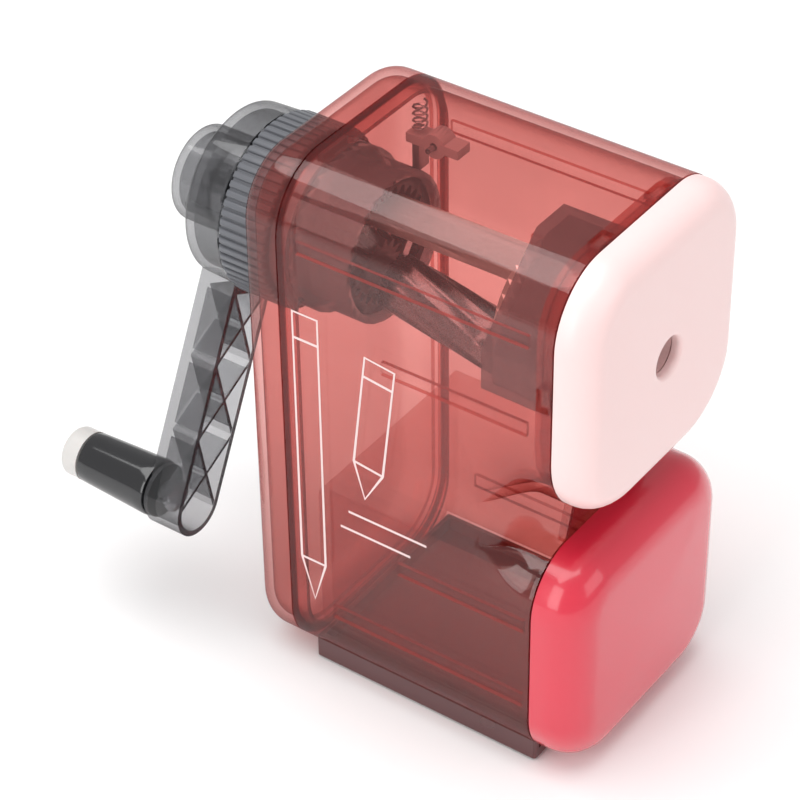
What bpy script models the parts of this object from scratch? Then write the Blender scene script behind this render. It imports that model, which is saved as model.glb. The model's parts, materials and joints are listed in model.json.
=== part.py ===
"""Hand-crank pencil sharpener with a see-through body.

Millimetres in the sizes below, metres in the scene.  +Z is up, the pencil goes in at the front (-Y) and the
crank is at the back (+Y).  The origin is the middle of the base's rest face.
"""

import math

import bmesh
import bpy
from mathutils import Matrix, Vector

MM = 0.001

# ---------------------------------------------------------------- driving sizes, mm
BODY_W = 54.4            # body, side to side
BODY_H = 118.0           # table to the top of the body
SHELL_FOOT = 0.8         # underside of the shell above the table
SEAM_Y = 30.0            # plane where the rear cover meets the front shell
REAR_DEPTH = 9.8         # rear cover, seam to its back face
UPPER_FRONT_Y = -30.4    # front edge of the shell round the pencil plate
LOWER_FRONT_Y = -26.8    # front edge of the shell round the drawer
FRONT_FACE_Y = -38.3     # front face of the pencil plate and of the drawer
CORNER_R = 14.0          # long corners of the body
UPPER_CORNER_R = 17.4    # lower corners of the upper square end
LOWER_CORNER_R = 12.0    # upper corners of the lower square end
UPPER_Z = 62.3           # bottom of the upper square end
LOWER_Z = 51.9           # top of the lower square end
WAIST_HALF = BODY_W / 2 - 15.2      # half width of the neck between the two ends, at the front
WAIST_START_Y = -12.0    # where the side notch starts to sink in
WALL = 1.8
GAP = 0.3                # between pieces that rest on each other
RUN = 0.2                # round a piece that turns or slides

REAR_EDGE_R = 5.5
PLATE_EDGE_R = 6.0
DRAWER_EDGE_R = 8.0
PENCIL_BORE_R = 4.3

CUTTER_R = 5.8
CUTTER_TILT = math.radians(8.0)   # half angle of the cone that is cut on the pencil
CUTTER_FLUTES = 12
CUTTER_SIDE = math.radians(232.0)  # side of the axis the cutter is on, from +X towards +Z
CONE_TIP_Y = 19.5                  # where the pencil's point comes to rest
PIN_R = 1.5
PINION_MID_Y = 26.58                # middle of the gears
RING_TEETH = 28
PINION_TEETH = 16
BACKLASH = 0.3

HOUSING_R = 15.6         # drum that carries the ring gear
COLLAR_R = HOUSING_R + 3.1
COLLAR_RIBS = 36
COLLAR_LENGTH = 11.0
COLLAR_LUGS = 3
HUB_R = COLLAR_R - 0.5
HUB_LENGTH = 8.9
SHAFT_R = 4.4
DIAL_R = 10.0
DIAL_LENGTH = 9.5
CRANK_LENGTH = 65.0
CRANK_LEAN = math.radians(26.3)    # rest angle of the arm from straight down, towards -X
ARM_W = 13.2
ARM_DEPTH = 8.3
ARM_WALL = 1.2
HANDLE_R = 6.1
HANDLE_LENGTH = 24.2
HANDLE_CAP = 4.8

DRAWER_TRAY_H = 42.0
DRAWER_WALL = 1.5
BASE_HALF_W = BODY_W / 2 - 3.6
BASE_RIM = 6.0
PAD_T = 0.9

HALF_W = BODY_W / 2
AXIS_Z = (BODY_H + UPPER_Z) / 2
COVER_Y = SEAM_Y + REAR_DEPTH

# ---------------------------------------------------------------- scene and collections
for old in list(bpy.data.objects):
    bpy.data.objects.remove(old, do_unlink=True)

PARTS = bpy.data.collections.new("pencil_sharpener")
CUTTERS = bpy.data.collections.new("cutters")
bpy.context.scene.collection.children.link(PARTS)
bpy.context.scene.collection.children.link(CUTTERS)


def material(name, rgb, roughness, metallic=0.0, alpha=1.0):
    mat = bpy.data.materials.new(name)
    mat.use_nodes = True
    shader = mat.node_tree.nodes["Principled BSDF"]
    shader.inputs["Base Color"].default_value = (*rgb, 1.0)
    shader.inputs["Roughness"].default_value = roughness
    shader.inputs["Metallic"].default_value = metallic
    shader.inputs["Alpha"].default_value = alpha
    return mat


CLEAR_RED = material("clear_red", (0.62, 0.10, 0.09), 0.08, alpha=0.5)
PALE_PINK = material("pale_pink", (0.93, 0.76, 0.74), 0.25)
GLOSS_RED = material("gloss_red", (0.80, 0.07, 0.11), 0.12)
SMOKE = material("smoke_grey", (0.10, 0.10, 0.11), 0.12, alpha=0.7)
GREY = material("grey", (0.14, 0.15, 0.16), 0.4)
BLACK = material("black", (0.02, 0.02, 0.02), 0.5)
MILKY = material("milky", (0.70, 0.69, 0.67), 0.3, alpha=0.8)
ZINC = material("zinc", (0.55, 0.55, 0.54), 0.45, metallic=1.0)
STEEL = material("steel", (0.35, 0.35, 0.36), 0.3, metallic=1.0)
RUBBER = material("rubber", (0.03, 0.02, 0.02), 0.8)


# ---------------------------------------------------------------- making and joining pieces
def add_object(name, mesh, mat, location=(0, 0, 0), turn=None):
    obj = bpy.data.objects.new(name, mesh)
    (PARTS if mat else CUTTERS).objects.link(obj)
    obj.location = Vector(location) * MM
    if turn:
        obj.rotation_euler = turn
    if mat:
        mesh.materials.append(mat)
    else:
        obj.hide_render = True
        obj.display_type = "WIRE"
    return obj


def mesh_from(name, bm):
    bmesh.ops.recalc_face_normals(bm, faces=bm.faces)
    mesh = bpy.data.meshes.new(name)
    bm.to_mesh(mesh)
    bm.free()
    mesh.shade_smooth()
    mesh.set_sharp_from_angle(angle=math.radians(35))
    return mesh


def loft(name, rings, mat=None, location=(0, 0, 0)):
    """Closed skin through rings of (x, y, z) points with the same number of points each."""
    bm = bmesh.new()
    loops = [[bm.verts.new(Vector(p) * MM) for p in ring] for ring in rings]
    count = len(rings[0])
    for low, high in zip(loops, loops[1:]):
        for i in range(count):
            j = (i + 1) % count
            bm.faces.new((low[i], low[j], high[j], high[i]))
    bmesh.ops.triangulate(bm, faces=bm.faces)
    bm.faces.new(loops[0])
    bm.faces.new(loops[-1])
    return add_object(name, mesh_from(name, bm), mat, location)


def prism(name, outline, y0, y1, mat=None, location=(0, 0, 0)):
    """Flat outline of (x, z) points pushed along Y."""
    return loft(name, [[(x, y0, z) for x, z in outline], [(x, y1, z) for x, z in outline]], mat, location)


def boxes(name, corners, mat=None, location=(0, 0, 0), turn=None):
    """One or more separate blocks, each from its two corners."""
    bm = bmesh.new()
    for low, high in corners:
        size = [abs(b - a) * MM for a, b in zip(low, high)]
        centre = [(a + b) / 2 * MM for a, b in zip(low, high)]
        bmesh.ops.create_cube(bm, size=1.0, matrix=Matrix.Translation(centre) @ Matrix.Diagonal((*size,
                                                                                                 1)))
    return add_object(name, mesh_from(name, bm), mat, location, turn)


ALONG_Y = (math.radians(-90), 0, 0)      # turns a piece's own Z on to +Y
ON_AXIS = (0, 0, AXIS_Z)


def turned(name, profile, mat=None, steps=32, location=ON_AXIS, turn=ALONG_Y, parent=None):
    """Profile of (radius, height) points, down the outer side first, turned about the piece's own Z."""
    bm = bmesh.new()
    verts = [bm.verts.new((r * MM, 0, h * MM)) for r, h in profile]
    for a, b in zip(verts, verts[1:]):
        bm.edges.new((a, b))
    if profile[0][0] > 0:
        bm.edges.new((verts[-1], verts[0]))
    mesh = bpy.data.meshes.new(name)
    bm.to_mesh(mesh)
    bm.free()
    obj = add_object(name, mesh, mat, location, turn)
    screw = obj.modifiers.new("turned", "SCREW")
    screw.axis = "Z"
    screw.steps = steps
    screw.render_steps = steps
    screw.use_merge_vertices = True
    screw.merge_threshold = 0.00001
    screw.use_smooth_shade = True
    if parent:
        obj.parent = parent
    return obj


def boolean(obj, other, operation):
    mod = obj.modifiers.new(operation.lower(), "BOOLEAN")
    mod.operation = operation
    mod.object = other
    mod.solver = "EXACT"


def cut(obj, *others):
    for other in others:
        boolean(obj, other, "DIFFERENCE")


def fuse(obj, *others):
    for other in others:
        boolean(obj, other, "UNION")


def arc(cx, cz, r, start, end, steps):
    """Points of an arc in (x, z), degrees from +X towards +Z."""
    angles = [math.radians(start + (end - start) * i / steps) for i in range(steps + 1)]
    return [(cx + r * math.cos(a), cz + r * math.sin(a)) for a in angles]


def circle(r, steps=32, cx=0.0, cz=0.0):
    return arc(cx, cz, r, 0, 360, steps)[:-1]


def rounded(half_w, z0, z1, r_low, r_high, inset=0.0, steps=5):
    """Rounded rectangle in (x, z), drawn in by inset all round."""
    w, low, high = half_w - inset, z0 + inset, z1 - inset
    rl, rh = max(r_low - inset, 0.6), max(r_high - inset, 0.6)
    return (
        arc(w - rh, high - rh, rh, 0, 90, steps)
        + arc(rh - w, high - rh, rh, 90, 180, steps)
        + arc(rl - w, low + rl, rl, 180, 270, steps)
        + arc(w - rl, low + rl, rl, 270, 360, steps)
    )


def upper_square(inset=0.0, steps=5):
    return rounded(HALF_W, UPPER_Z, BODY_H, UPPER_CORNER_R, CORNER_R, inset, steps)


def lower_square(inset=0.0, steps=5):
    return rounded(HALF_W, SHELL_FOOT, LOWER_Z, CORNER_R, LOWER_CORNER_R, inset, steps)


def full_section(inset=0.0, steps=5):
    return rounded(HALF_W, SHELL_FOOT, BODY_H, CORNER_R, CORNER_R, inset, steps)


def ring_at(outline, y):
    return [(x, y, z) for x, z in outline]


def polar(radius, angle, y=0.0):
    """A point round the crank axis, given from the axis."""
    return Vector((radius * math.cos(angle), y, radius * math.sin(angle)))


# ---------------------------------------------------------------- casing
def waisted_section(inset, fade):
    """Body outline in (x, z).  With fade 1 it is the outline of the two stacked squares and their neck."""
    w = HALF_W - inset
    upper_r, lower_r = UPPER_CORNER_R - inset, LOWER_CORNER_R - inset
    corner = CORNER_R - inset
    neck = WAIST_HALF - inset
    side = arc(w - corner, BODY_H - inset - corner, corner, 90, 0, 5)
    notch = arc(w - upper_r, UPPER_Z + inset + upper_r, upper_r, 0, -90, 5)
    notch += arc(w - lower_r, LOWER_Z - inset - lower_r, lower_r, 90, 0, 5)
    side += [(w - fade * (w - max(x, neck)), z) for x, z in notch]
    side += arc(w - corner, SHELL_FOOT + inset + corner, corner, 0, -90, 5)
    return side + [(-x, z) for x, z in reversed(side)]


def waisted_tube(name, inset, y_back, y_front, mat=None):
    steps = 5
    rings = [ring_at(waisted_section(inset, 0.0), y_back)]
    for i in range(steps + 1):
        s = i / steps
        y = WAIST_START_Y + (LOWER_FRONT_Y + 1.0 - WAIST_START_Y) * s
        rings.append(ring_at(waisted_section(inset, s * s * (3 - 2 * s)), y))
    rings.append(ring_at(waisted_section(inset, 1.0), y_front))
    return loft(name, rings, mat)


RIB_DEPTH = 0.8
RIBS = (                       # guide ribs on both side walls: low z, high z, rear end y
    (101.6, 104.4, SEAM_Y - 3.0),
    (82.0, 85.0, 8.0),
    (34.4, 37.4, 5.0),
    (15.2, 18.4, 21.0),
)
TAB_X = 9.4                    # snap tabs of the front ring, across the top
TAB_SIDE_Z = 93.0
TAB_SIZE = (4.4, 2.0)
TAB_Y = UPPER_FRONT_Y + 1.9
LATCH_X, LATCH_Y, LATCH_Z = 12.0, 20.8, AXIS_Z + HOUSING_R + 2.6
LATCH_W = 4.0
HOOK_HALF_W = LATCH_W / 2 - 0.4
HOOK_Y = (3.6, 5.2)            # hook, from the latch's pin
HOOK_TIP_Z = AXIS_Z + HOUSING_R - 4.3
EYE_R = 2.6
EAR_T = 1.2


def front_shell():
    shell = waisted_tube("front_shell", 0.0, SEAM_Y - GAP / 2, UPPER_FRONT_Y, CLEAR_RED)
    inside = waisted_tube("shell_inside", WALL, SEAM_Y + 2, UPPER_FRONT_Y - 2)
    step = boxes("shell_step", [((-40, UPPER_FRONT_Y - 3, -5), (40, LOWER_FRONT_Y, UPPER_Z - 0.05))])
    foot = boxes("shell_foot_opening", [((-BASE_HALF_W - GAP, -40, -5),
                                         (BASE_HALF_W + GAP, SEAM_Y - 2.6, 9.6))])
    cut(shell, inside, step, foot)
    neck, shoulder = WAIST_HALF - 0.8, HALF_W - LOWER_CORNER_R - 0.8
    top, bottom = UPPER_Z + WALL - 0.2, LOWER_Z - WALL + 0.1
    bridge_y = LOWER_FRONT_Y + 0.3
    bridge = prism("shell_bridge", [(-neck, top), (-neck, UPPER_Z), (-shoulder, LOWER_Z),
                                    (-shoulder, bottom),
                                    (shoulder, bottom), (shoulder, LOWER_Z), (neck, UPPER_Z), (neck,
                                                                                               top)],
                   bridge_y, bridge_y + WALL)
    sill = boxes("shell_sill", [((-neck, UPPER_FRONT_Y + 0.1, UPPER_Z + 0.1),
                                 (neck, LOWER_FRONT_Y + 1.0, UPPER_Z + WALL - 0.3))])
    inner_w = HALF_W - WALL
    front = LOWER_FRONT_Y + 2.6
    ribs = []
    for side in (-1, 1):
        for low, high, rear in RIBS:
            ribs.append(((side * (inner_w - RIB_DEPTH), front, low),
                         (side * (inner_w + 0.3), rear, high)))
    for edge in (-1, 1):
        x = LATCH_X + edge * (LATCH_W / 2 + 0.4)
        ribs.append(((x, LATCH_Y - 2.4, LATCH_Z - 2.2), (x + edge * EAR_T, LATCH_Y + 2.4,
                                                         BODY_H - WALL + 0.5)))
    fuse(shell, bridge, sill, boxes("shell_ribs", ribs))
    w, h = TAB_SIZE[0] / 2 + GAP, TAB_SIZE[1] / 2 + GAP
    windows = [((s * TAB_X - w, TAB_Y - h, BODY_H - WALL - 1), (s * TAB_X + w, TAB_Y + h, BODY_H + 1))
               for s in (-1, 1)]
    windows += [((s * (HALF_W - WALL - 1), TAB_Y - h, TAB_SIDE_Z - w),
                 (s * (HALF_W + 1), TAB_Y + h, TAB_SIDE_Z + w))
                for s in (-1, 1)]
    cut(shell, boxes("shell_windows", windows))
    cut(shell, turned("latch_pin_hole", [(0, 8), (0.9, 8), (0.9, -8), (0, -8)], None, 12,
                      (LATCH_X, LATCH_Y, LATCH_Z), (0, math.radians(90), 0)))
    return shell


def domed_rings(section, y_open, y_face, edge_r, inset, steps=4):
    """Rings of a cap: straight from y_open, then its edge rounded into a flat face at y_face."""
    way = 1 if y_face > y_open else -1
    start = y_face - way * edge_r
    rings = [ring_at(section(inset), y_open), ring_at(section(inset), start)]
    for i in range(1, steps + 1):
        a = math.radians(90 * i / steps)
        rings.append(ring_at(section(inset + edge_r * (1 - math.cos(a))),
                             start + way * edge_r * math.sin(a)))
    return rings


def rear_cover():
    cover = loft("rear_cover", domed_rings(full_section, SEAM_Y + GAP / 2, COVER_Y, REAR_EDGE_R, 0.0),
                 CLEAR_RED)
    inside = loft("cover_inside", domed_rings(full_section, SEAM_Y - 4, COVER_Y - WALL,
                                              REAR_EDGE_R - WALL, WALL, 3))
    lip_back = SEAM_Y + 1.6
    lip = loft("cover_lip", [ring_at(full_section(WALL + GAP), SEAM_Y - 2.2),
                             ring_at(full_section(WALL + GAP), SEAM_Y + 0.4),
                             ring_at(full_section(WALL - 0.6), lip_back)])
    cut(lip, prism("cover_lip_inside", full_section(WALL + GAP + 1.0), SEAM_Y - 6, lip_back + 1))
    hole = prism("cover_hole", circle(COLLAR_SLEEVE_R + GAP, 36), COVER_Y - 4, COVER_Y + 4, None, ON_AXIS)
    cut(cover, hole)
    for i in range(COLLAR_LUGS):
        cut(cover, lug(f"cover_notch_{i + 1}", i, math.radians(30), GAP, COVER_Y - 4, COVER_Y + 4))
    cut(cover, inside)
    fuse(cover, lip)
    return cover


def base_plate():
    y0, y1 = LOWER_FRONT_Y + GAP, SEAM_Y - 3.0
    floor_z = PAD_T + GAP + 1.6
    base = boxes("base_plate", [((-BASE_HALF_W, y0, PAD_T + GAP - 1.0), (BASE_HALF_W, y1, BASE_RIM))],
                 CLEAR_RED)
    base.modifiers.new("corner", "BEVEL")
    base.modifiers["corner"].width = 0.5 * MM
    base.modifiers["corner"].segments = 1
    cut(base, boxes("base_inside", [((-BASE_HALF_W + 1.4, y0 - 2, floor_z),
                                     (BASE_HALF_W - 1.4, y1 - 1.4, BASE_RIM + 2))]))
    cut(base, boxes("base_pad_seat", [((-PAD_HALF_W - GAP, PAD_Y0 - GAP, -2),
                                       (PAD_HALF_W + GAP, PAD_Y1 + GAP, PAD_T + GAP))]))
    return base


PAD_HALF_W = BASE_HALF_W - 2.6
PAD_Y0 = LOWER_FRONT_Y + 3.0
PAD_Y1 = SEAM_Y - 6.0


def non_slip_pad():
    pad = boxes("non_slip_pad", [((-PAD_HALF_W, PAD_Y0, 0), (PAD_HALF_W, PAD_Y1, PAD_T))], RUBBER)
    return pad


# ---------------------------------------------------------------- front: plate, ring and chuck
PLATE_T = 2.0


def front_plate():
    back = UPPER_FRONT_Y - GAP

    def section(inset):
        return upper_square(inset + 0.1)

    plate = loft("front_plate", domed_rings(section, back, FRONT_FACE_Y, PLATE_EDGE_R, 0.0), PALE_PINK)
    cut(plate, loft("plate_inside", domed_rings(section, back + 1, FRONT_FACE_Y + PLATE_T,
                                                PLATE_EDGE_R - PLATE_T, PLATE_T, 3)))
    lip = turned("plate_hole", [(0, FRONT_FACE_Y + 5), (PENCIL_BORE_R - 0.3, FRONT_FACE_Y + 5),
                                (PENCIL_BORE_R - 0.3, FRONT_FACE_Y + 0.9), (PENCIL_BORE_R - 0.05,
                                                                            FRONT_FACE_Y + 0.35),
                                (PENCIL_BORE_R + 0.4, FRONT_FACE_Y), (PENCIL_BORE_R + 0.4,
                                                                      FRONT_FACE_Y - 2),
                                (0, FRONT_FACE_Y - 2)], None, 24)
    cut(plate, lip)
    return plate


RING_INSET = WALL + GAP
RING_T = 1.3
BULKHEAD_Y = UPPER_FRONT_Y + 3.4


def front_ring():
    y0, y1 = UPPER_FRONT_Y + 0.2, UPPER_FRONT_Y + 3.1
    ring = prism("front_ring", upper_square(RING_INSET), y0, y1, CLEAR_RED)
    cut(ring, prism("ring_inside", upper_square(RING_INSET + RING_T), y0 - 2, y1 + 2))
    w, h = TAB_SIZE[0] / 2, TAB_SIZE[1] / 2
    reach = 1.2
    tabs = [((s * TAB_X - w, TAB_Y - h, BODY_H - RING_INSET - 0.5),
             (s * TAB_X + w, TAB_Y + h, BODY_H - RING_INSET + reach))
            for s in (-1, 1)]
    tabs += [((s * (HALF_W - RING_INSET - 0.5), TAB_Y - h, TAB_SIDE_Z - w),
              (s * (HALF_W - RING_INSET + reach), TAB_Y + h, TAB_SIDE_Z + w)) for s in (-1, 1)]
    fuse(ring, boxes("ring_tabs", tabs))
    return ring


OCT_SIDE, OCT_FLAT = 22.0, 4.5     # chuck housing: reach from the axis and half width of its short flats
CHUCK_BACK_Y = -12.0
BULKHEAD_T = 1.2
CHUCK_FRONT_Y = BULKHEAD_Y + BULKHEAD_T
CHUCK_WALL = 1.5
JAW_HALF_W = 6.5
JAW_BACK_Y, JAW_FRONT_Y = CHUCK_BACK_Y - 5.0, CHUCK_BACK_Y - 12.4
JAW_REACH = 11.4                   # jaw's far end from the axis, closed
SCREW_X = 15.5


def octagon(inset=0.0):
    side, flat = OCT_SIDE - inset, OCT_FLAT - inset * 0.42
    quarter = [(side, flat), (flat, side - 1.0)]
    return (quarter + [(-x, z) for x, z in reversed(quarter)] + [(-x, -z) for x, z in quarter]
            + [(x, -z) for x, z in reversed(quarter)])


def chuck_housing():
    back, front = CHUCK_BACK_Y, CHUCK_FRONT_Y + GAP
    body = prism("chuck_housing", octagon(), front, back, SMOKE, ON_AXIS)
    cut(body, prism("chuck_inside", octagon(CHUCK_WALL), front - 2, back - CHUCK_WALL, None, ON_AXIS))
    cut(body, prism("chuck_nose_hole", circle(NOSE_R + 0.5), back - 4, back + 4, None, ON_AXIS))
    for side in (-1, 1):
        boss = prism(f"chuck_boss_{side}", circle(2.4, 16, side * SCREW_X), front + 0.1, back - 0.5, None,
                     ON_AXIS)
        hole = prism(f"chuck_boss_hole_{side}", circle(1.3, 12, side * SCREW_X), front - 1, front + 8.4,
                     None, ON_AXIS)
        fuse(body, boss)
        cut(body, hole)
    guides = []
    for side in (-1, 1):
        for way in (-1, 1):
            x = side * (JAW_HALF_W + GAP)
            guides.append(((x, JAW_FRONT_Y + 1.0, way * 4.5),
                           (x + side * 1.2, back - 0.6, way * (JAW_REACH + 1.0))))
    fuse(body, boxes("chuck_guides", guides, None, ON_AXIS))
    return body


def bulkhead():
    """Plate behind the front ring that closes the chuck housing and carries it in the body."""
    plate = prism("bulkhead", upper_square(RING_INSET), BULKHEAD_Y, BULKHEAD_Y + BULKHEAD_T, CLEAR_RED)
    holes = [circle(PENCIL_BORE_R, 20)] + [circle(1.3, 12, side * SCREW_X) for side in (-1, 1)]
    for i, outline in enumerate(holes):
        cut(plate, prism(f"bulkhead_hole_{i}", outline, BULKHEAD_Y - 2, BULKHEAD_Y + 4, None, ON_AXIS))
    return plate


def pencil_guide():
    """Flanged tube that leads the pencil from the front plate's hole to the chuck."""
    y0, y1 = FRONT_FACE_Y + PLATE_T + GAP, BULKHEAD_Y - GAP
    bore, outer = PENCIL_BORE_R, PENCIL_BORE_R + 1.5
    return turned("pencil_guide", [(outer + 2.0, y1), (outer + 2.0, y1 - 1.2), (outer, y1 - 1.2),
                                   (outer, y0), (bore, y0),
                                   (bore, y1)], PALE_PINK, 24)


def jaw(name, way):
    near = 1.6
    outline = [(-JAW_HALF_W, way * JAW_REACH), (-JAW_HALF_W, way * near), (-3.4, way * near),
               (0, way * (near + 2.3)),
               (3.4, way * near), (JAW_HALF_W, way * near), (JAW_HALF_W, way * JAW_REACH)]
    return prism(name, outline, JAW_FRONT_Y, JAW_BACK_Y, GREY, ON_AXIS)


def coil(name, radius, wire, z0, z1, turns, mat, location, parent=None, turn=None):
    """Helical spring along its own Z, as a round wire."""
    curve = bpy.data.curves.new(name, "CURVE")
    curve.dimensions = "3D"
    curve.bevel_depth = wire * MM
    curve.bevel_resolution = 1
    curve.use_fill_caps = True
    per_turn = 8
    count = int(turns * per_turn) + 1
    spline = curve.splines.new("POLY")
    spline.points.add(count - 1)
    for i, point in enumerate(spline.points):
        a = 2 * math.pi * i / per_turn
        z = z0 + wire + (z1 - z0 - 2 * wire) * i / (count - 1)
        point.co = (radius * math.cos(a) * MM, radius * math.sin(a) * MM, z * MM, 1)
    curve.materials.append(mat)
    obj = bpy.data.objects.new(name, curve)
    PARTS.objects.link(obj)
    obj.location = Vector(location) * MM
    if turn:
        obj.rotation_euler = turn
    if parent:
        obj.parent = parent
    return obj


def chuck_screw(name, side):
    front = BULKHEAD_Y - 0.1
    return turned(name, [(0, front + 7.6), (1.0, front + 7.6), (1.0, front - 0.2), (2.0, front - 0.2),
                         (2.0, front - 1.5), (0, front - 1.5)],
                  STEEL, 16, (side * SCREW_X, 0, AXIS_Z))


# ---------------------------------------------------------------- sharpening mechanism
NOSE_R = 6.0
DISC_FRONT_Y = (CHUCK_BACK_Y + 0.6, CHUCK_BACK_Y + 3.6)
DISC_REAR_Y = (30.7, 32.3)
ROD_R = 1.3
ROD_BORE_R = 1.7
HOUSING_WALL = 1.4
HOUSING_FRONT_Y = 23.0
HOUSING_WEB_Y = (32.8, 34.5)
HUB_Y = COVER_Y + 0.4 + COLLAR_LENGTH + 0.4       # face of the hub that looks at the collar
HUB_BACK_Y = HUB_Y + HUB_LENGTH
COLLAR_SLEEVE_R = HOUSING_R + 1.3
LUG_R = COLLAR_SLEEVE_R + 1.3
LUG_Y = (COVER_Y - WALL - 1.6, COVER_Y - WALL - GAP)
LUG_HALF_W = 4.0


def cutter_distance(y):
    """Distance of the cutter's axis from the crank axis at y."""
    return CUTTER_R / math.cos(CUTTER_TILT) + (CONE_TIP_Y - y) * math.tan(CUTTER_TILT)


def cutter_frame():
    """Empty on the cutter's axis at the pencil's point, its own Z along that axis to the rear."""
    out = polar(1, CUTTER_SIDE)
    along = Vector((0, math.cos(CUTTER_TILT), 0)) - out * math.sin(CUTTER_TILT)
    across = out * math.cos(CUTTER_TILT) + Vector((0, math.sin(CUTTER_TILT), 0))
    side = along.cross(across)
    turn = Matrix((across, side, along)).transposed().to_4x4()
    place = out * cutter_distance(CONE_TIP_Y) + Vector((0, CONE_TIP_Y, AXIS_Z))
    empty = bpy.data.objects.new("cutter_axis", None)
    PARTS.objects.link(empty)
    empty.matrix_world = Matrix.Translation(place * MM) @ turn
    return empty


def along_cutter(y):
    """Distance along the cutter's axis, from its empty, of the point at y."""
    return (y - CONE_TIP_Y) / math.cos(CUTTER_TILT)


def gear_outline(teeth, r_root, r_tip, half_tooth, phase=0.0, slope=math.tan(math.radians(20))):
    """Outline of a gear with straight-sided teeth, each 2 * half_tooth thick on the pitch circle."""
    pitch_r = teeth * GEAR_MODULE / 2
    points = []
    for i in range(teeth):
        middle = phase + 2 * math.pi * i / teeth
        for radius, sign in ((r_root, -1), (r_tip, -1), (r_tip, 1), (r_root, 1)):
            half = (half_tooth - (radius - pitch_r) * slope) / radius
            a = middle + sign * half
            points.append((radius * math.cos(a), radius * math.sin(a)))
    return points


ADDENDUM, DEDENDUM = 0.6, 0.95
GEAR_MODULE = 2 * cutter_distance(PINION_MID_Y) / (RING_TEETH - PINION_TEETH * math.cos(CUTTER_TILT))
PINION_R = PINION_TEETH * GEAR_MODULE / 2
RING_R = RING_TEETH * GEAR_MODULE / 2
BAR_R = (4.8, RING_R - ADDENDUM - 0.6)       # carrier's bars pass inside the ring gear
PINION_HALF_L = 2.0
HALF_TOOTH = math.pi * GEAR_MODULE / 4


def carrier():
    """Cast frame that the crank turns; it holds the cutter's pin at both ends."""
    y0, y1 = DISC_FRONT_Y
    body = prism("cutter_carrier", circle(13.2, 28), y0, y1, ZINC, ON_AXIS)
    nose = prism("carrier_nose", circle(NOSE_R, 20), y0 - 4.2, y0 + 1, None, ON_AXIS)
    far = CUTTER_SIDE + math.pi
    spread = math.radians(60)
    count = 9
    angles = [far - spread + 2 * spread * i / count for i in range(count + 1)]
    bar = [(BAR_R[1] * math.cos(a), BAR_R[1] * math.sin(a)) for a in angles]
    bar += [(BAR_R[0] * math.cos(a), BAR_R[0] * math.sin(a)) for a in reversed(angles)]
    beam = prism("carrier_bar", bar, y0 + 1, DISC_REAR_Y[1] - 0.6, None, ON_AXIS)
    rear = prism("carrier_rear", circle(9.6, 24), DISC_REAR_Y[0], DISC_REAR_Y[1], None, ON_AXIS)
    shaft = prism("carrier_shaft", circle(SHAFT_R, 20), DISC_REAR_Y[1] - 0.8, HUB_BACK_Y - 2.4, None,
                  ON_AXIS)
    fuse(body, nose, beam, rear, shaft)
    bore = prism("carrier_bore", circle(PENCIL_BORE_R, 20), y0 - 8, y1 + 2, None, ON_AXIS)
    rod = prism("carrier_rod_bore", circle(ROD_BORE_R, 12), DISC_REAR_Y[0] - 2, HUB_BACK_Y + 3, None,
                ON_AXIS)
    hole_end, hole_start = along_cutter(DISC_REAR_Y[1] - 0.5), along_cutter(-20)
    pin = turned("carrier_pin_hole", [(0, hole_end), (PIN_R + RUN, hole_end), (PIN_R + RUN, hole_start),
                                      (0, hole_start)],
                 None, 20, (0, 0, 0), None, CUTTER_AXIS)
    cut(body, bore, rod, pin)
    return body


CUTTER_Y = (-6.9, CONE_TIP_Y + 0.6)


def cutter():
    """Helical cutter: straight-backed teeth wound round a cylinder, with a bore for its pin."""
    per_flute = 3
    count = CUTTER_FLUTES * per_flute
    levels = (0.0, 0.0, 0.8)
    rows = 6
    wind = math.radians(55)
    start, end = along_cutter(CUTTER_Y[0]), along_cutter(CUTTER_Y[1])
    rings = []
    for row in range(rows + 1):
        h = start + (end - start) * row / rows
        ring = []
        for i in range(count):
            a = 2 * math.pi * i / count + wind * row / rows
            r = CUTTER_R - levels[i % per_flute]
            ring.append((r * math.cos(a), r * math.sin(a), h))
        rings.append(ring)
    obj = loft("helical_cutter", rings, STEEL)
    obj.parent = CUTTER_AXIS
    bore = turned("cutter_bore", [(0, end + 2), (PIN_R + RUN, end + 2), (PIN_R + RUN, start - 2),
                                  (0, start - 2)],
                  None, 20, (0, 0, 0), None, CUTTER_AXIS)
    cut(obj, bore)
    return obj


def cutter_pinion():
    """Pinion on the cutter's rear end, coned so that its outer side lies parallel to the crank axis."""
    mid = along_cutter(PINION_MID_Y)
    rings = []
    for way in (-1, 1):
        h = way * PINION_HALF_L
        scale = 1 + h * math.tan(CUTTER_TILT) / PINION_R
        teeth = gear_outline(PINION_TEETH, PINION_R - DEDENDUM, PINION_R + ADDENDUM,
                             HALF_TOOTH - BACKLASH / 2)
        rings.append([(x * scale, y * scale, mid + h) for x, y in teeth])
    obj = loft("cutter_pinion", rings, BLACK)
    obj.parent = CUTTER_AXIS
    hub_end = along_cutter(CUTTER_Y[1]) + GAP
    hub = turned("pinion_hub", [(0, mid), (3.4, mid), (3.4, hub_end), (0, hub_end)], None, 20, (0, 0, 0),
                 None, CUTTER_AXIS)
    bore = turned("pinion_bore", [(0, mid + 8), (PIN_R + RUN, mid + 8), (PIN_R + RUN, mid - 8),
                                  (0, mid - 8)],
                  None, 20, (0, 0, 0), None, CUTTER_AXIS)
    fuse(obj, hub)
    cut(obj, bore)
    return obj


def cutter_pin():
    start, end = along_cutter(DISC_FRONT_Y[0] + 0.6), along_cutter(DISC_REAR_Y[1] - 0.9)
    return turned("cutter_pin", [(0, end), (PIN_R, end), (PIN_R, start), (0, start)], STEEL, 20,
                  (0, 0, 0), None, CUTTER_AXIS)


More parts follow.
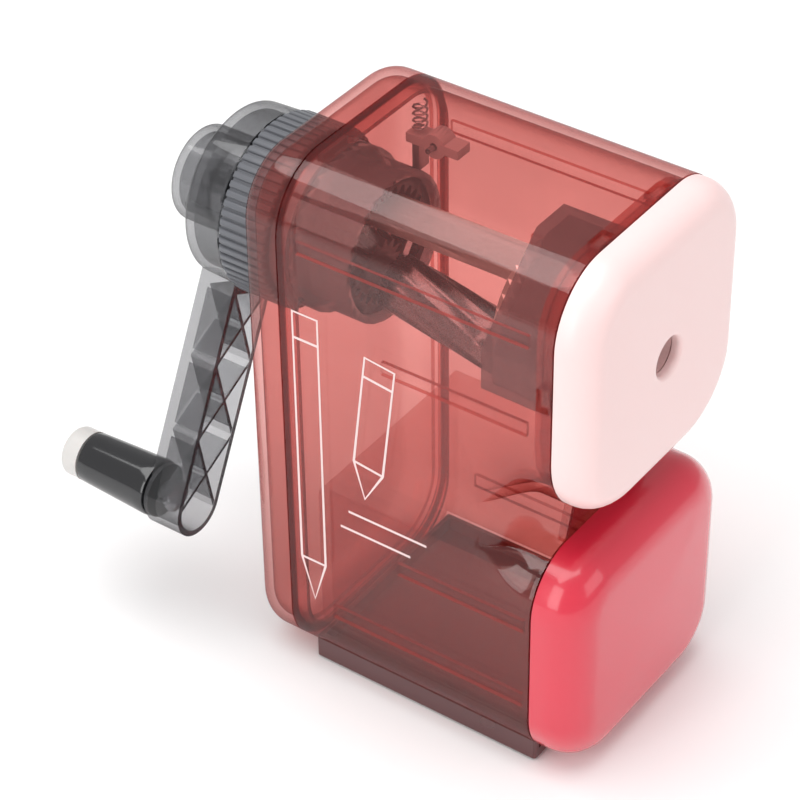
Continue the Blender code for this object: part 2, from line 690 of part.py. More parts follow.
def ring_gear():
    y0, y1 = PINION_MID_Y - 2.2, PINION_MID_Y + 3.8
    outer = HOUSING_R - HOUSING_WALL - RUN
    ring = prism("ring_gear", circle(outer, 28), y0, y1, BLACK, ON_AXIS)
    phase = CUTTER_SIDE
    space = gear_outline(RING_TEETH, RING_R - ADDENDUM, RING_R + DEDENDUM, HALF_TOOTH + BACKLASH / 2,
                         phase)
    cut(ring, prism("ring_gear_inside", space, y0 - 2, y1 + 2, None, ON_AXIS))
    return ring


def mech_housing():
    """Drum with the ring gear at its front end; it slides in through the rear cover."""
    inner = HOUSING_R - HOUSING_WALL
    flange_r = COLLAR_SLEEVE_R
    flange = (LUG_Y[0] - 3.2, LUG_Y[0] - 0.8)
    web0, web1 = HOUSING_WEB_Y
    neck_end = COVER_Y + COLLAR_LENGTH
    boss_end = neck_end - 4
    bush_r = SHAFT_R + RUN + 1.4
    profile = [(HOUSING_R, neck_end), (HOUSING_R, flange[1]), (flange_r, flange[1]),
               (flange_r, flange[0]),
               (HOUSING_R, flange[0]), (HOUSING_R, HOUSING_FRONT_Y), (inner, HOUSING_FRONT_Y), (inner,
                                                                                                web0),
               (bush_r + RUN, web0), (bush_r + RUN, boss_end), (bush_r + RUN + 1.6,
                                                                boss_end), (bush_r + RUN + 1.6, web1),
               (inner, web1), (inner, neck_end)]
    drum = turned("mech_housing", profile, SMOKE, 28)
    pocket = boxes("latch_pocket", [((-HOOK_HALF_W - GAP, HOOK_Y[0] - GAP, HOOK_TIP_Z - GAP - LATCH_Z),
                                     (HOOK_HALF_W + GAP, HOOK_Y[1] + GAP, 0))], None, (LATCH_X, LATCH_Y,
                                                                                       LATCH_Z))
    cut(drum, pocket)
    return drum


def shaft_bush():
    inner, outer = SHAFT_R + RUN, SHAFT_R + RUN + 1.4
    y0, y1 = HOUSING_WEB_Y[0] + 0.1, COVER_Y + COLLAR_LENGTH - 4
    return turned("shaft_bush", [(outer, y1), (outer, y0), (inner, y0), (inner, y1)], BLACK, 20)


def lug(name, index, extra, grow, y0, y1):
    """One bayonet lug or its notch, index steps round the axis."""
    angle = 2 * math.pi * index / COLLAR_LUGS + math.pi / 2 + extra
    w, r0, r1 = LUG_HALF_W + grow, HOUSING_R + 0.6, LUG_R + grow
    out, side = polar(1, angle), polar(1, angle + math.pi / 2)
    corners = [out * r0 - side * w, out * r1 - side * w, out * r1 + side * w, out * r0 + side * w]
    return prism(name, [(p.x, p.z) for p in corners], y0, y1, None, ON_AXIS)


def lock_collar():
    """Ribbed ring that is turned to free the cutter unit; its lugs grip behind the rear cover."""
    y0 = COVER_Y + 0.4
    outline = []
    for i in range(COLLAR_RIBS):
        for share, depth in ((0.0, 0.0), (0.5, 0.0), (0.75, 0.5)):
            a = 2 * math.pi * (i + share) / COLLAR_RIBS
            outline.append(((COLLAR_R - depth) * math.cos(a), (COLLAR_R - depth) * math.sin(a)))
    collar = prism("lock_collar", outline, y0, y0 + COLLAR_LENGTH, GREY, ON_AXIS)
    fuse(collar, prism("collar_sleeve", circle(COLLAR_SLEEVE_R, 28), LUG_Y[0], y0 + 1, None, ON_AXIS))
    for i in range(COLLAR_LUGS):
        fuse(collar, lug(f"collar_lug_{i + 1}", i, 0.0, 0.0, LUG_Y[0] + 0.05, LUG_Y[1]))
    cut(collar, prism("collar_bore", circle(HOUSING_R + GAP, 28), LUG_Y[0] - 4, y0 + COLLAR_LENGTH + 4,
                      None, ON_AXIS))
    return collar


# ---------------------------------------------------------------- crank
ARM_DOWN = Vector((-math.sin(CRANK_LEAN), 0, -math.cos(CRANK_LEAN)))
ARM_SIDE = Vector((math.cos(CRANK_LEAN), 0, -math.sin(CRANK_LEAN)))
HANDLE_AT = ARM_DOWN * CRANK_LENGTH
ARM_Y = (HUB_Y + 0.2, HUB_Y + 0.2 + ARM_DEPTH)


def arm_point(along, across):
    p = ARM_DOWN * along + ARM_SIDE * across
    return (p.x, p.z)


def arm_outline(inset, start):
    half = ARM_W / 2 - inset
    points = [arm_point(start, -half), arm_point(CRANK_LENGTH, -half)]
    for i in range(1, 8):
        a = math.pi * i / 8
        points.append(arm_point(CRANK_LENGTH + half * math.sin(a), -half * math.cos(a)))
    return points + [arm_point(CRANK_LENGTH, half), arm_point(start, half)]


def strip(start, end, thick):
    """Outline of a straight rib between two points of the arm, each given as (along, across)."""
    a, b = Vector(arm_point(*start)), Vector(arm_point(*end))
    side = (b - a).normalized().orthogonal() * thick / 2
    return [tuple(a - side), tuple(b - side), tuple(b + side), tuple(a + side)]


ARM_BAYS = 3


def crank_arm():
    """Hub and arm in one moulding; the arm is a tray with crossed ribs, open towards the body."""
    edge = 1.6
    steps = 3
    hub = [(0, HUB_BACK_Y)]
    for i in range(steps + 1):
        a = math.radians(90 - 90 * i / steps)
        hub.append((HUB_R - edge + edge * math.cos(a) - 0.3, HUB_BACK_Y - edge + edge * math.sin(a)))
    hub += [(HUB_R, HUB_Y), (HUB_R - 1.8, HUB_Y), (HUB_R - 1.8, HUB_BACK_Y - 1.8),
            (SHAFT_R + 3.4, HUB_BACK_Y - 1.8),
            (SHAFT_R + 3.4, HUB_Y + 0.6), (0, HUB_Y + 0.6)]
    arm = turned("crank_arm", hub, SMOKE, 28)
    tray = prism("arm_tray", arm_outline(0.0, HUB_R - 3.0), ARM_Y[0], ARM_Y[1], None, ON_AXIS)
    tray_inside = prism("arm_tray_inside", arm_outline(ARM_WALL, HUB_R + 1.2), ARM_Y[0] - 3,
                        ARM_Y[1] - 1.5, None, ON_AXIS)
    pin = prism("arm_pin_hole", circle(HANDLE_PIN_R + GAP, 16, HANDLE_AT.x, HANDLE_AT.z), ARM_Y[1] - 3,
                ARM_Y[1] + 3, None, ON_AXIS)
    cut(tray, tray_inside, pin)
    cut(tray, prism("arm_hub_clearance", circle(HUB_R - 1.0, 28), ARM_Y[0] - 3, ARM_Y[1] + 3, None,
                    ON_AXIS))
    fuse(arm, tray)
    first, last = HUB_R + 0.4, CRANK_LENGTH + 1.0
    reach = ARM_W / 2 - ARM_WALL / 2
    for bay in range(ARM_BAYS):
        a = first + (last - first) * bay / ARM_BAYS
        b = first + (last - first) * (bay + 1) / ARM_BAYS
        for way in (-1, 1):
            rib = prism(f"arm_rib_{bay}_{way}", strip((a, -way * reach), (b, way * reach), 0.8),
                        ARM_Y[0] + 0.05,
                        ARM_Y[1] - 1.0, None, ON_AXIS)
            fuse(arm, rib)
    bore = prism("hub_bore", circle(SHAFT_R + 0.15, 20), HUB_Y - 3, HUB_BACK_Y + 3, None, ON_AXIS)
    nut = prism("hub_nut_seat", circle(NUT_R + GAP, 20), HUB_BACK_Y - 2.2, HUB_BACK_Y + 3, None, ON_AXIS)
    cut(arm, bore, nut)
    return arm


NUT_R = 6.6
HANDLE_PIN_R = 2.0


def hub_nut():
    y0, y1 = HUB_BACK_Y - 2.2 + GAP, HUB_BACK_Y - 0.3
    nut = prism("hub_nut", circle(NUT_R, 6), y0, y1, STEEL, ON_AXIS)
    cut(nut, prism("hub_nut_bore", circle(ROD_BORE_R, 20), y0 - 2, y1 + 2, None, ON_AXIS))
    return nut


def adjuster_dial():
    """Dial on the hub's back that sets how blunt the point is; a cup with a boss on the rod."""
    y0, y1 = HUB_BACK_Y + 0.4, HUB_BACK_Y + 0.4 + DIAL_LENGTH
    edge = 1.6
    profile = [(0, y1)]
    for i in range(4):
        a = math.radians(90 - 90 * i / 3)
        profile.append((DIAL_R - edge + edge * math.cos(a), y1 - edge + edge * math.sin(a)))
    profile += [(DIAL_R, y0), (DIAL_R - 1.5, y0), (DIAL_R - 1.5, y1 - 1.6), (ROD_R + 1.8, y1 - 1.6),
                (ROD_R + 1.8, y0 + 0.6),
                (ROD_R + 0.15, y0 + 0.6), (ROD_R + 0.15, y1 - 3.0), (0, y1 - 3.0)]
    return turned("adjuster_dial", profile, SMOKE, 24)


STOP_FACE_Y = CONE_TIP_Y + 0.75
STOP_PLATE_Y = DISC_REAR_Y[0] - 1.8
STOP_BACK = 4.2


def point_stop():
    """Bent strip that the rod pushes: it runs past the pinion, and its finger meets the pencil's point."""
    turn = (0, -(CUTTER_SIDE + math.pi), 0)
    stop = boxes("point_stop", [((STOP_BACK - 1.2, STOP_FACE_Y, -1.2),
                                 (STOP_BACK, STOP_PLATE_Y + 1.0, 1.2))], STEEL, ON_AXIS, turn)
    finger = boxes("stop_finger", [((-1.1, STOP_FACE_Y - 0.01, -1.1),
                                    (STOP_BACK - 0.3, STOP_FACE_Y + 0.65, 1.1))], None, ON_AXIS, turn)
    plate = boxes("stop_plate", [((-ROD_R, STOP_PLATE_Y, -1.1),
                                  (STOP_BACK - 0.3, STOP_PLATE_Y + 1.01, 1.1))], None, ON_AXIS, turn)
    fuse(stop, finger, plate)
    return stop


def adjuster_rod():
    y0, y1 = STOP_PLATE_Y + 1.0 + GAP, HUB_BACK_Y + 0.4 + DIAL_LENGTH - 3.3
    return turned("adjuster_rod", [(0, y1), (ROD_R, y1), (ROD_R, y0 + 0.6), (ROD_R - 0.5, y0), (0, y0)],
                  STEEL, 16)


def handle_pieces():
    at = (HANDLE_AT.x, 0, AXIS_Z + HANDLE_AT.z)
    start = ARM_Y[1]
    washer = start + GAP
    sleeve0 = washer + 0.9 + GAP
    end = start + HANDLE_LENGTH
    sleeve1 = end - HANDLE_CAP
    pin_head = 3.4
    floor_y = ARM_Y[1] - 1.5
    turned("handle_pin", [(0, end - 1.9), (HANDLE_PIN_R + 1.0, end - 1.9),
                          (HANDLE_PIN_R + 1.0, sleeve1 + GAP),
                          (HANDLE_PIN_R, sleeve1 + GAP), (HANDLE_PIN_R, floor_y - GAP), (pin_head,
                                                                                         floor_y - GAP),
                          (pin_head, floor_y - GAP - 1.2), (0, floor_y - GAP - 1.2)], STEEL, 20, at)
    turned("handle_washer", [(HANDLE_R - 0.3, washer + 0.9), (HANDLE_R - 0.3, washer),
                             (HANDLE_PIN_R + RUN, washer),
                             (HANDLE_PIN_R + RUN, washer + 0.9)], BLACK, 20, at)
    turned("handle_sleeve", [(HANDLE_R - 0.7, sleeve1), (HANDLE_R, sleeve0),
                             (HANDLE_PIN_R + RUN, sleeve0),
                             (HANDLE_PIN_R + RUN, sleeve1)], SMOKE, 20, at)
    cap_r, edge = HANDLE_R - 0.75, 1.5
    profile = [(0, end)]
    for i in range(4):
        a = math.radians(90 - 90 * i / 3)
        profile.append((cap_r - edge + edge * math.cos(a), end - edge + edge * math.sin(a)))
    profile += [(cap_r, sleeve1 + GAP), (HANDLE_PIN_R + 1.0 + RUN, sleeve1 + GAP),
                (HANDLE_PIN_R + 1.0 + RUN, end - 1.6), (0, end - 1.6)]
    turned("handle_cap", profile, MILKY, 20, at)


# ---------------------------------------------------------------- drawer
TRAY_HALF_W = HALF_W - WALL - RIB_DEPTH - 0.7
TRAY_Z0 = PAD_T + GAP + 1.6 + 0.5
TRAY_Y = (LOWER_FRONT_Y + 0.2, SEAM_Y - 5.2)


def drawer_tray():
    z1 = TRAY_Z0 + DRAWER_TRAY_H
    outline = rounded(TRAY_HALF_W, TRAY_Z0, z1, 10.5, 1.0, 0.0, 5)
    inner = rounded(TRAY_HALF_W - DRAWER_WALL, TRAY_Z0 + DRAWER_WALL, z1 + 6, 9.0, 1.0, 0.0, 5)
    tray = prism("drawer_tray", outline, TRAY_Y[0], TRAY_Y[1], CLEAR_RED)
    cut(tray, prism("tray_inside", inner, TRAY_Y[0] + DRAWER_WALL, TRAY_Y[1] - DRAWER_WALL))
    return tray


def drawer_front():
    back = LOWER_FRONT_Y - GAP

    def section(inset):
        return lower_square(inset + 0.1)

    front = loft("drawer_front", domed_rings(section, back, FRONT_FACE_Y, DRAWER_EDGE_R, 0.0), GLOSS_RED)
    cut(front, loft("drawer_front_inside", domed_rings(section, back + 1, FRONT_FACE_Y + 2.2,
                                                       DRAWER_EDGE_R - 2.2, 2.2, 3)))
    return front


# ---------------------------------------------------------------- latch for the cutter unit
def latch():
    half = LATCH_W / 2
    lever = boxes("latch_lever", [((-half, -5.6, -1.0), (half, 6.4, 1.0))], GREY,
                  (LATCH_X, LATCH_Y, LATCH_Z))
    hook = boxes("latch_hook", [((-HOOK_HALF_W, HOOK_Y[0], HOOK_TIP_Z - LATCH_Z),
                                 (HOOK_HALF_W, HOOK_Y[1], -0.5))],
                 None, (LATCH_X, LATCH_Y, LATCH_Z))
    eye = turned("latch_eye", [(0, half), (EYE_R, half), (EYE_R, -half), (0, -half)], None, 20,
                 (LATCH_X, LATCH_Y, LATCH_Z), (0, math.radians(90), 0))
    fuse(lever, hook, eye)
    cut(lever, turned("latch_bore", [(0, 5), (0.85, 5), (0.85, -5), (0, -5)], None, 12,
                      (LATCH_X, LATCH_Y, LATCH_Z),
                      (0, math.radians(90), 0)))
    reach = LATCH_W / 2 + 0.4 + EAR_T + 0.3
    turned("latch_pin", [(0, reach), (0.6, reach), (0.6, -reach), (0, -reach)], STEEL, 12,
           (LATCH_X, LATCH_Y, LATCH_Z),
           (0, math.radians(90), 0))
    coil("latch_spring", 1.4, 0.25, LATCH_Z + 1.0 + 0.15, BODY_H - WALL - 0.15, 4, STEEL,
         (LATCH_X, LATCH_Y + sum(HOOK_Y) / 2, 0))
    return lever


CUTTER_AXIS = cutter_frame()
front_shell()
rear_cover()
base_plate()
non_slip_pad()
front_plate()
front_ring()
chuck_housing()
bulkhead()
pencil_guide()
chuck_screw("chuck_screw_1", -1)
chuck_screw("chuck_screw_2", 1)
jaw("jaw_upper", 1)
jaw("jaw_lower", -1)
SPRING_ROOM = (JAW_REACH + 0.15, OCT_SIDE - 1.0 - CHUCK_WALL - 0.15)
JAW_MID_Y = (JAW_BACK_Y + JAW_FRONT_Y) / 2
coil("jaw_spring_upper", 2.2, 0.3, AXIS_Z + SPRING_ROOM[0], AXIS_Z + SPRING_ROOM[1], 4, STEEL,
     (0, JAW_MID_Y, 0))
coil("jaw_spring_lower", 2.2, 0.3, AXIS_Z - SPRING_ROOM[1], AXIS_Z - SPRING_ROOM[0], 4, STEEL,
     (0, JAW_MID_Y, 0))
carrier()
cutter()
cutter_pinion()
cutter_pin()
ring_gear()
mech_housing()
shaft_bush()
lock_collar()
crank_arm()
hub_nut()
adjuster_dial()
point_stop()
adjuster_rod()
handle_pieces()
drawer_tray()
drawer_front()
latch()
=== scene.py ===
import json
import math

import bpy
from mathutils import Matrix, Vector

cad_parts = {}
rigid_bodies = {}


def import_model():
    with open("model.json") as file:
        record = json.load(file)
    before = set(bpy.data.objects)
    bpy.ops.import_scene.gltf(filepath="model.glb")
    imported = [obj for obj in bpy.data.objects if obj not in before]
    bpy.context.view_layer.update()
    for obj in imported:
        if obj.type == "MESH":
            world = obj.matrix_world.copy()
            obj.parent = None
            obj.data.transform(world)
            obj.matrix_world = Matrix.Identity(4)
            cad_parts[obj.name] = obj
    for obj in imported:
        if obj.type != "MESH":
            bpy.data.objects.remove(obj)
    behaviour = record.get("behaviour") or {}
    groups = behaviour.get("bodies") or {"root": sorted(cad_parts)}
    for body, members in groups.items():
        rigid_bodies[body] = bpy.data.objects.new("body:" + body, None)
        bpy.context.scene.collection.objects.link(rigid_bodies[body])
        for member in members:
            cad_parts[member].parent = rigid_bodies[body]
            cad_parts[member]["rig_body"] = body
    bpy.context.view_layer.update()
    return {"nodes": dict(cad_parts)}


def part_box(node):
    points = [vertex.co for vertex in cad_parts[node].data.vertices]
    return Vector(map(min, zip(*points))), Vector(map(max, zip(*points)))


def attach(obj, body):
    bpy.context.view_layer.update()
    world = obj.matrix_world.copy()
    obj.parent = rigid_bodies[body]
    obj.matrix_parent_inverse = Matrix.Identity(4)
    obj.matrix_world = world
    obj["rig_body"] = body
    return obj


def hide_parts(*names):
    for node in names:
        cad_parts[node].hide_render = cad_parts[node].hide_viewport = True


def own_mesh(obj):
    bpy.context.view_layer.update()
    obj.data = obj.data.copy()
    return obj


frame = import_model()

MM = 0.001

# ---------------------------------------------------------------- sizes in mm, as the frame has them
shell_low, shell_high = (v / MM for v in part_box("front_shell"))
HALF_W = shell_high.x
TOP_Z = shell_high.z
FOOT_Z = shell_low.z
SEAM_Y = shell_high.y + 0.15
UPPER_FRONT_Y = shell_low.y
LOWER_FRONT_Y = UPPER_FRONT_Y + 3.6
FACE_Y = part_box("front_plate")[0].y / MM
COVER_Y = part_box("rear_cover")[1].y / MM
UPPER_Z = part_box("front_plate")[0].z / MM - 0.1
LOWER_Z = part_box("drawer_front")[1].z / MM + 0.1
AXIS_Z = (TOP_Z + UPPER_Z) / 2
AXIS_AT = (0.0, AXIS_Z)
CORNER_R = 14.0
UPPER_CORNER_R = 17.4
LOWER_CORNER_R = 12.0
NECK = 12.0
WAIST_START_Y = -12.0
WALL = 1.8
GAP = 0.3
FOOT_HALF_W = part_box("base_plate")[1].x / MM
REAR_EDGE_R = 5.5
PLATE_EDGE_R = 6.0
DRAWER_EDGE_R = 8.0
BORE_R = 4.3
RIB_DEPTH = 0.8
# guide ribs on both side walls: low z, high z, rear end y
RIBS = ((101.6, 104.4, SEAM_Y - 3.0), (82.0, 85.0, 8.0), (34.4, 37.4, 5.0), (15.2, 18.4, 21.0))
TAB_X = 9.4                 # snap tabs of the front ring, across the top
TAB_SIDE_Z = 93.0
TAB_Y = UPPER_FRONT_Y + 1.9
WINDOW_HALF = (2.5, 1.3)    # window round a tab, along and across the edge
SHAFT_R = 4.4
HOUSING_R = 15.6
SLEEVE_R = HOUSING_R + 1.3
COLLAR_RIBS = 60
COLLAR_LUGS = 3
LUG_HALF_W = 4.0
collar_low, collar_high = (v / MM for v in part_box("lock_collar"))
COLLAR_R = collar_high.x
COLLAR_Y = (COVER_Y + 0.4, collar_high.y)
HUB_R = 18.2
HUB_EDGE_R = 1.6
HUB_WALL = 1.8
BOSS_R = SHAFT_R + 3.4      # boss round the shaft
NUT_SEAT_R = 6.9
HUB_Y = (COLLAR_Y[1] + 0.4, COLLAR_Y[1] + 9.3)
dial_low, dial_high = (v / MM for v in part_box("adjuster_dial"))
LEAN = math.radians(26.3)
ARM_LENGTH = 65.0
ARM_W = 13.2
ARM_Y = (HUB_Y[0] + 0.2, HUB_Y[0] + 8.5)
ARM_WALL = 1.2
ARM_FLOOR = 1.5
ARM_BAYS = 3
cap_low, cap_high = (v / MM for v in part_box("handle_cap"))
sleeve_low, sleeve_high = (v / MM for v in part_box("handle_sleeve"))
HANDLE_X = (cap_low.x + cap_high.x) / 2
HANDLE_Z = (cap_low.z + cap_high.z) / 2
HANDLE_AT = (HANDLE_X, HANDLE_Z)
MERGE_M = 0.000002          # points closer than this are one point


# ---------------------------------------------------------------- modelling by hand, in steps
def select_none():
    """Leaves edit mode and deselects everything."""
    if bpy.context.object and bpy.context.object.mode != "OBJECT":
        bpy.ops.object.mode_set(mode="OBJECT")
    bpy.ops.object.select_all(action="DESELECT")


def named(name):
    """Names the piece that was just added."""
    obj = bpy.context.object
    obj.name = name
    obj.data.name = name
    return obj


def apply_place(obj):
    """Puts a piece's place, turn and size into its mesh."""
    select_none()
    bpy.context.view_layer.objects.active = obj
    obj.select_set(True)
    bpy.ops.object.transform_apply(location=True, rotation=True, scale=True)


def finish_mesh(obj, angle=35.0):
    """Merges doubles, points the faces outwards and smooths all but the sharp edges."""
    select_none()
    bpy.context.view_layer.objects.active = obj
    obj.select_set(True)
    bpy.ops.object.mode_set(mode="EDIT")
    bpy.ops.mesh.select_all(action="SELECT")
    bpy.ops.mesh.remove_doubles(threshold=MERGE_M)
    bpy.ops.mesh.normals_make_consistent(inside=False)
    bpy.ops.object.mode_set(mode="OBJECT")
    bpy.ops.object.shade_smooth_by_angle(angle=math.radians(angle))
    return obj


def modifier(obj, kind, **settings):
    """Adds a modifier and applies it."""
    select_none()
    bpy.context.view_layer.objects.active = obj
    obj.select_set(True)
    mod = obj.modifiers.new(kind.lower(), kind)
    for key, value in settings.items():
        setattr(mod, key, value)
    bpy.ops.object.modifier_apply(modifier=mod.name)
    return obj


def combine(obj, others, operation):
    """Cuts or joins the other pieces in turn, and removes them."""
    for other in others:
        modifier(obj, "BOOLEAN", operation=operation, object=other, solver="EXACT")
        bpy.data.objects.remove(other)
    return obj


def cut(obj, *others):
    return combine(obj, others, "DIFFERENCE")


def fuse(obj, *others):
    return combine(obj, others, "UNION")


def soften(obj, width):
    """Small radius on every sharp edge, as a mould leaves it."""
    return modifier(obj, "BEVEL", width=width * MM, segments=2, limit_method="ANGLE",
                    angle_limit=math.radians(50.0), harden_normals=False)


def sweep(name, rings):
    """Body drawn from ring to ring: a circle is shaped to the first ring, then extruded to each next one."""
    select_none()
    bpy.ops.mesh.primitive_circle_add(vertices=len(rings[0]), radius=1.0, fill_type="NOTHING")
    obj = named(name)
    mesh = obj.data
    current = list(range(len(rings[0])))
    for i, point in zip(current, rings[0]):
        mesh.vertices[i].co = Vector(point) * MM
    for ring in rings[1:]:
        for v in mesh.vertices:
            v.select = False
        for e in mesh.edges:
            e.select = False
        last = set(current)
        for e in mesh.edges:
            e.select = e.vertices[0] in last and e.vertices[1] in last
        for i in current:
            mesh.vertices[i].select = True
        known = {tuple(round(c, 9) for c in mesh.vertices[i].co): k for k, i in enumerate(current)}
        first_new = len(mesh.vertices)
        bpy.ops.object.mode_set(mode="EDIT")
        bpy.ops.mesh.select_mode(type="EDGE")
        bpy.ops.mesh.extrude_edges_move()
        bpy.ops.object.mode_set(mode="OBJECT")
        current = [0] * len(ring)
        for i in range(first_new, len(mesh.vertices)):
            current[known[tuple(round(c, 9) for c in mesh.vertices[i].co)]] = i
        for i, point in zip(current, ring):
            mesh.vertices[i].co = Vector(point) * MM
    bpy.ops.object.mode_set(mode="EDIT")
    bpy.ops.mesh.select_mode(type="VERT")
    bpy.ops.mesh.select_all(action="DESELECT")
    bpy.ops.mesh.select_non_manifold()
    bpy.ops.mesh.edge_face_add()
    bpy.ops.object.mode_set(mode="OBJECT")
    return finish_mesh(obj)


def lathe(name, profile, steps=96, at=AXIS_AT):
    """Profile of (radius, y) points spun round an axis along Y: a point is extruded along it, then spun."""
    select_none()
    bpy.ops.mesh.primitive_plane_add(size=0.001)
    obj = named(name)
    bpy.ops.object.mode_set(mode="EDIT")
    bpy.ops.mesh.select_all(action="SELECT")
    bpy.ops.mesh.merge(type="CENTER")
    bpy.ops.transform.translate(value=((at[0] + profile[0][0]) * MM, profile[0][1] * MM, at[1] * MM))
    for (r0, y0), (r1, y1) in zip(profile, profile[1:]):
        bpy.ops.mesh.extrude_vertices_move(
            TRANSFORM_OT_translate={"value": ((r1 - r0) * MM, (y1 - y0) * MM, 0.0)})
    bpy.ops.mesh.select_all(action="SELECT")
    bpy.ops.mesh.spin(steps=steps, angle=math.tau, center=(at[0] * MM, 0, at[1] * MM), axis=(0, 1, 0))
    bpy.ops.mesh.select_all(action="SELECT")
    bpy.ops.mesh.remove_doubles(threshold=MERGE_M)
    bpy.ops.object.mode_set(mode="OBJECT")
    return finish_mesh(obj)


def block(name, low, high):
    """Cube stretched between two corners."""
    select_none()
    low, high = Vector(low) * MM, Vector(high) * MM
    bpy.ops.mesh.primitive_cube_add(size=1.0, location=(low + high) / 2, scale=high - low)
    obj = named(name)
    apply_place(obj)
    return obj


def drum(name, radius, y0, y1, steps=64, at=AXIS_AT):
    """Round bar along Y."""
    select_none()
    bpy.ops.mesh.primitive_cylinder_add(vertices=steps, radius=radius * MM, depth=(y1 - y0) * MM,
                                        location=(at[0] * MM, (y0 + y1) / 2 * MM, at[1] * MM),
                                        rotation=(math.radians(90), 0, 0))
    obj = named(name)
    apply_place(obj)
    return obj


def arc(cx, cz, r, start, end, steps):
    """Points on an arc round (cx, cz), from one angle to another in degrees."""
    angles = [math.radians(start + (end - start) * i / steps) for i in range(steps + 1)]
    return [(cx + r * math.cos(a), cz + r * math.sin(a)) for a in angles]


def rounded(half_w, z0, z1, r_low, r_high, inset, steps=14):
    """Rectangle with one radius on its lower corners and one on its upper."""
    w, low, high = half_w - inset, z0 + inset, z1 - inset
    rl, rh = max(r_low - inset, 0.6), max(r_high - inset, 0.6)
    return (arc(w - rh, high - rh, rh, 0, 90, steps) + arc(rh - w, high - rh, rh, 90, 180, steps)
            + arc(rl - w, low + rl, rl, 180, 270, steps) + arc(w - rl, low + rl, rl, 270, 360, steps))


def upper_square(inset):
    return rounded(HALF_W, UPPER_Z, TOP_Z, UPPER_CORNER_R, CORNER_R, inset)


def lower_square(inset):
    return rounded(HALF_W, FOOT_Z, LOWER_Z, CORNER_R, LOWER_CORNER_R, inset)


def full_section(inset):
    return rounded(HALF_W, FOOT_Z, TOP_Z, CORNER_R, CORNER_R, inset)


def at_y(outline, y):
    """Flat outline of (x, z) points set at one y."""
    return [(x, y, z) for x, z in outline]


# ---------------------------------------------------------------- materials
def linear(hex_colour):
    """sRGB hex to linear RGBA."""
    out = []
    for i in (1, 3, 5):
        c = int(hex_colour[i:i + 2], 16) / 255
        out.append(c / 12.92 if c <= 0.04045 else ((c + 0.055) / 1.055) ** 2.4)
    return (*out, 1.0)


def node(tree, kind, inputs=None, **settings):
    """Adds a node: settings are its own properties; each input is a value, or a socket to link."""
    made = tree.nodes.new(kind)
    for key, value in settings.items():
        setattr(made, key, value)
    for key, value in (inputs or {}).items():
        if isinstance(value, bpy.types.NodeSocket):
            tree.links.new(value, made.inputs[key])
        else:
            made.inputs[key].default_value = value
    return made


def new_material(name):
    """Empty material and its node tree."""
    mat = bpy.data.materials.new(name)
    mat.use_nodes = True
    mat.node_tree.nodes.clear()
    return mat, mat.node_tree


def surface_grain(tree, grain_mm, depth_mm, detail=2.0):
    """Bump from a noise whose grains are grain_mm wide, and that noise's own value."""
    coords = node(tree, "ShaderNodeTexCoord")
    noise = node(tree, "ShaderNodeTexNoise", {"Vector": coords.outputs["Object"], "Scale": 1 / MM / grain_mm,
                                              "Detail": detail, "Roughness": 0.5})
    bump = node(tree, "ShaderNodeBump", {"Height": noise.outputs["Fac"], "Distance": depth_mm * MM,
                                         "Strength": 1.0})
    return noise, bump


def uneven(tree, noise, roughness, spread):
    """Roughness that follows the noise, up to a share more and less than its middle."""
    return node(tree, "ShaderNodeMapRange", {"Value": noise.outputs["Fac"], "To Min": roughness * (1 - spread),
                                             "To Max": roughness * (1 + spread)})


def clear_plastic(name, wall_tint, edge_tint, body, share, roughness):
    """Clear moulded polystyrene: what is behind it shows through, deeper in colour where the wall is seen at
    a slant, with a sharp sheen from its polished mould and very shallow flow waves."""
    mat, tree = new_material(name)
    noise, bump = surface_grain(tree, 9.0, 0.012, 1.0)
    slant = node(tree, "ShaderNodeLayerWeight", {"Blend": 0.5})
    depth = node(tree, "ShaderNodeMath", {0: slant.outputs["Facing"], 1: 2.2}, operation="POWER")
    deepen = node(tree, "ShaderNodeMix", {0: depth.outputs[0], 6: linear(wall_tint), 7: linear(edge_tint)},
                  data_type="RGBA")
    through = node(tree, "ShaderNodeBsdfTransparent", {"Color": deepen.outputs[2]})
    haze = uneven(tree, noise, roughness, 0.2)
    plastic = node(tree, "ShaderNodeBsdfPrincipled", {"Base Color": linear(body), "Roughness": haze.outputs[0],
                                                      "IOR": 1.58, "Normal": bump.outputs[0]})
    gloss = node(tree, "ShaderNodeBsdfGlossy", {"Roughness": haze.outputs[0], "Normal": bump.outputs[0]})
    solid = node(tree, "ShaderNodeMixShader", {0: share, 1: through.outputs[0], 2: plastic.outputs[0]})
    rim = node(tree, "ShaderNodeMath", {0: slant.outputs["Facing"], 1: 5.0}, operation="POWER")
    sheen = node(tree, "ShaderNodeMapRange", {"Value": rim.outputs[0], "To Min": 0.045, "To Max": 0.45})
    shown = node(tree, "ShaderNodeMixShader", {0: sheen.outputs[0], 1: solid.outputs[0],
                                               2: gloss.outputs[0]})
    node(tree, "ShaderNodeOutputMaterial", {"Surface": shown.outputs[0]})
    return mat


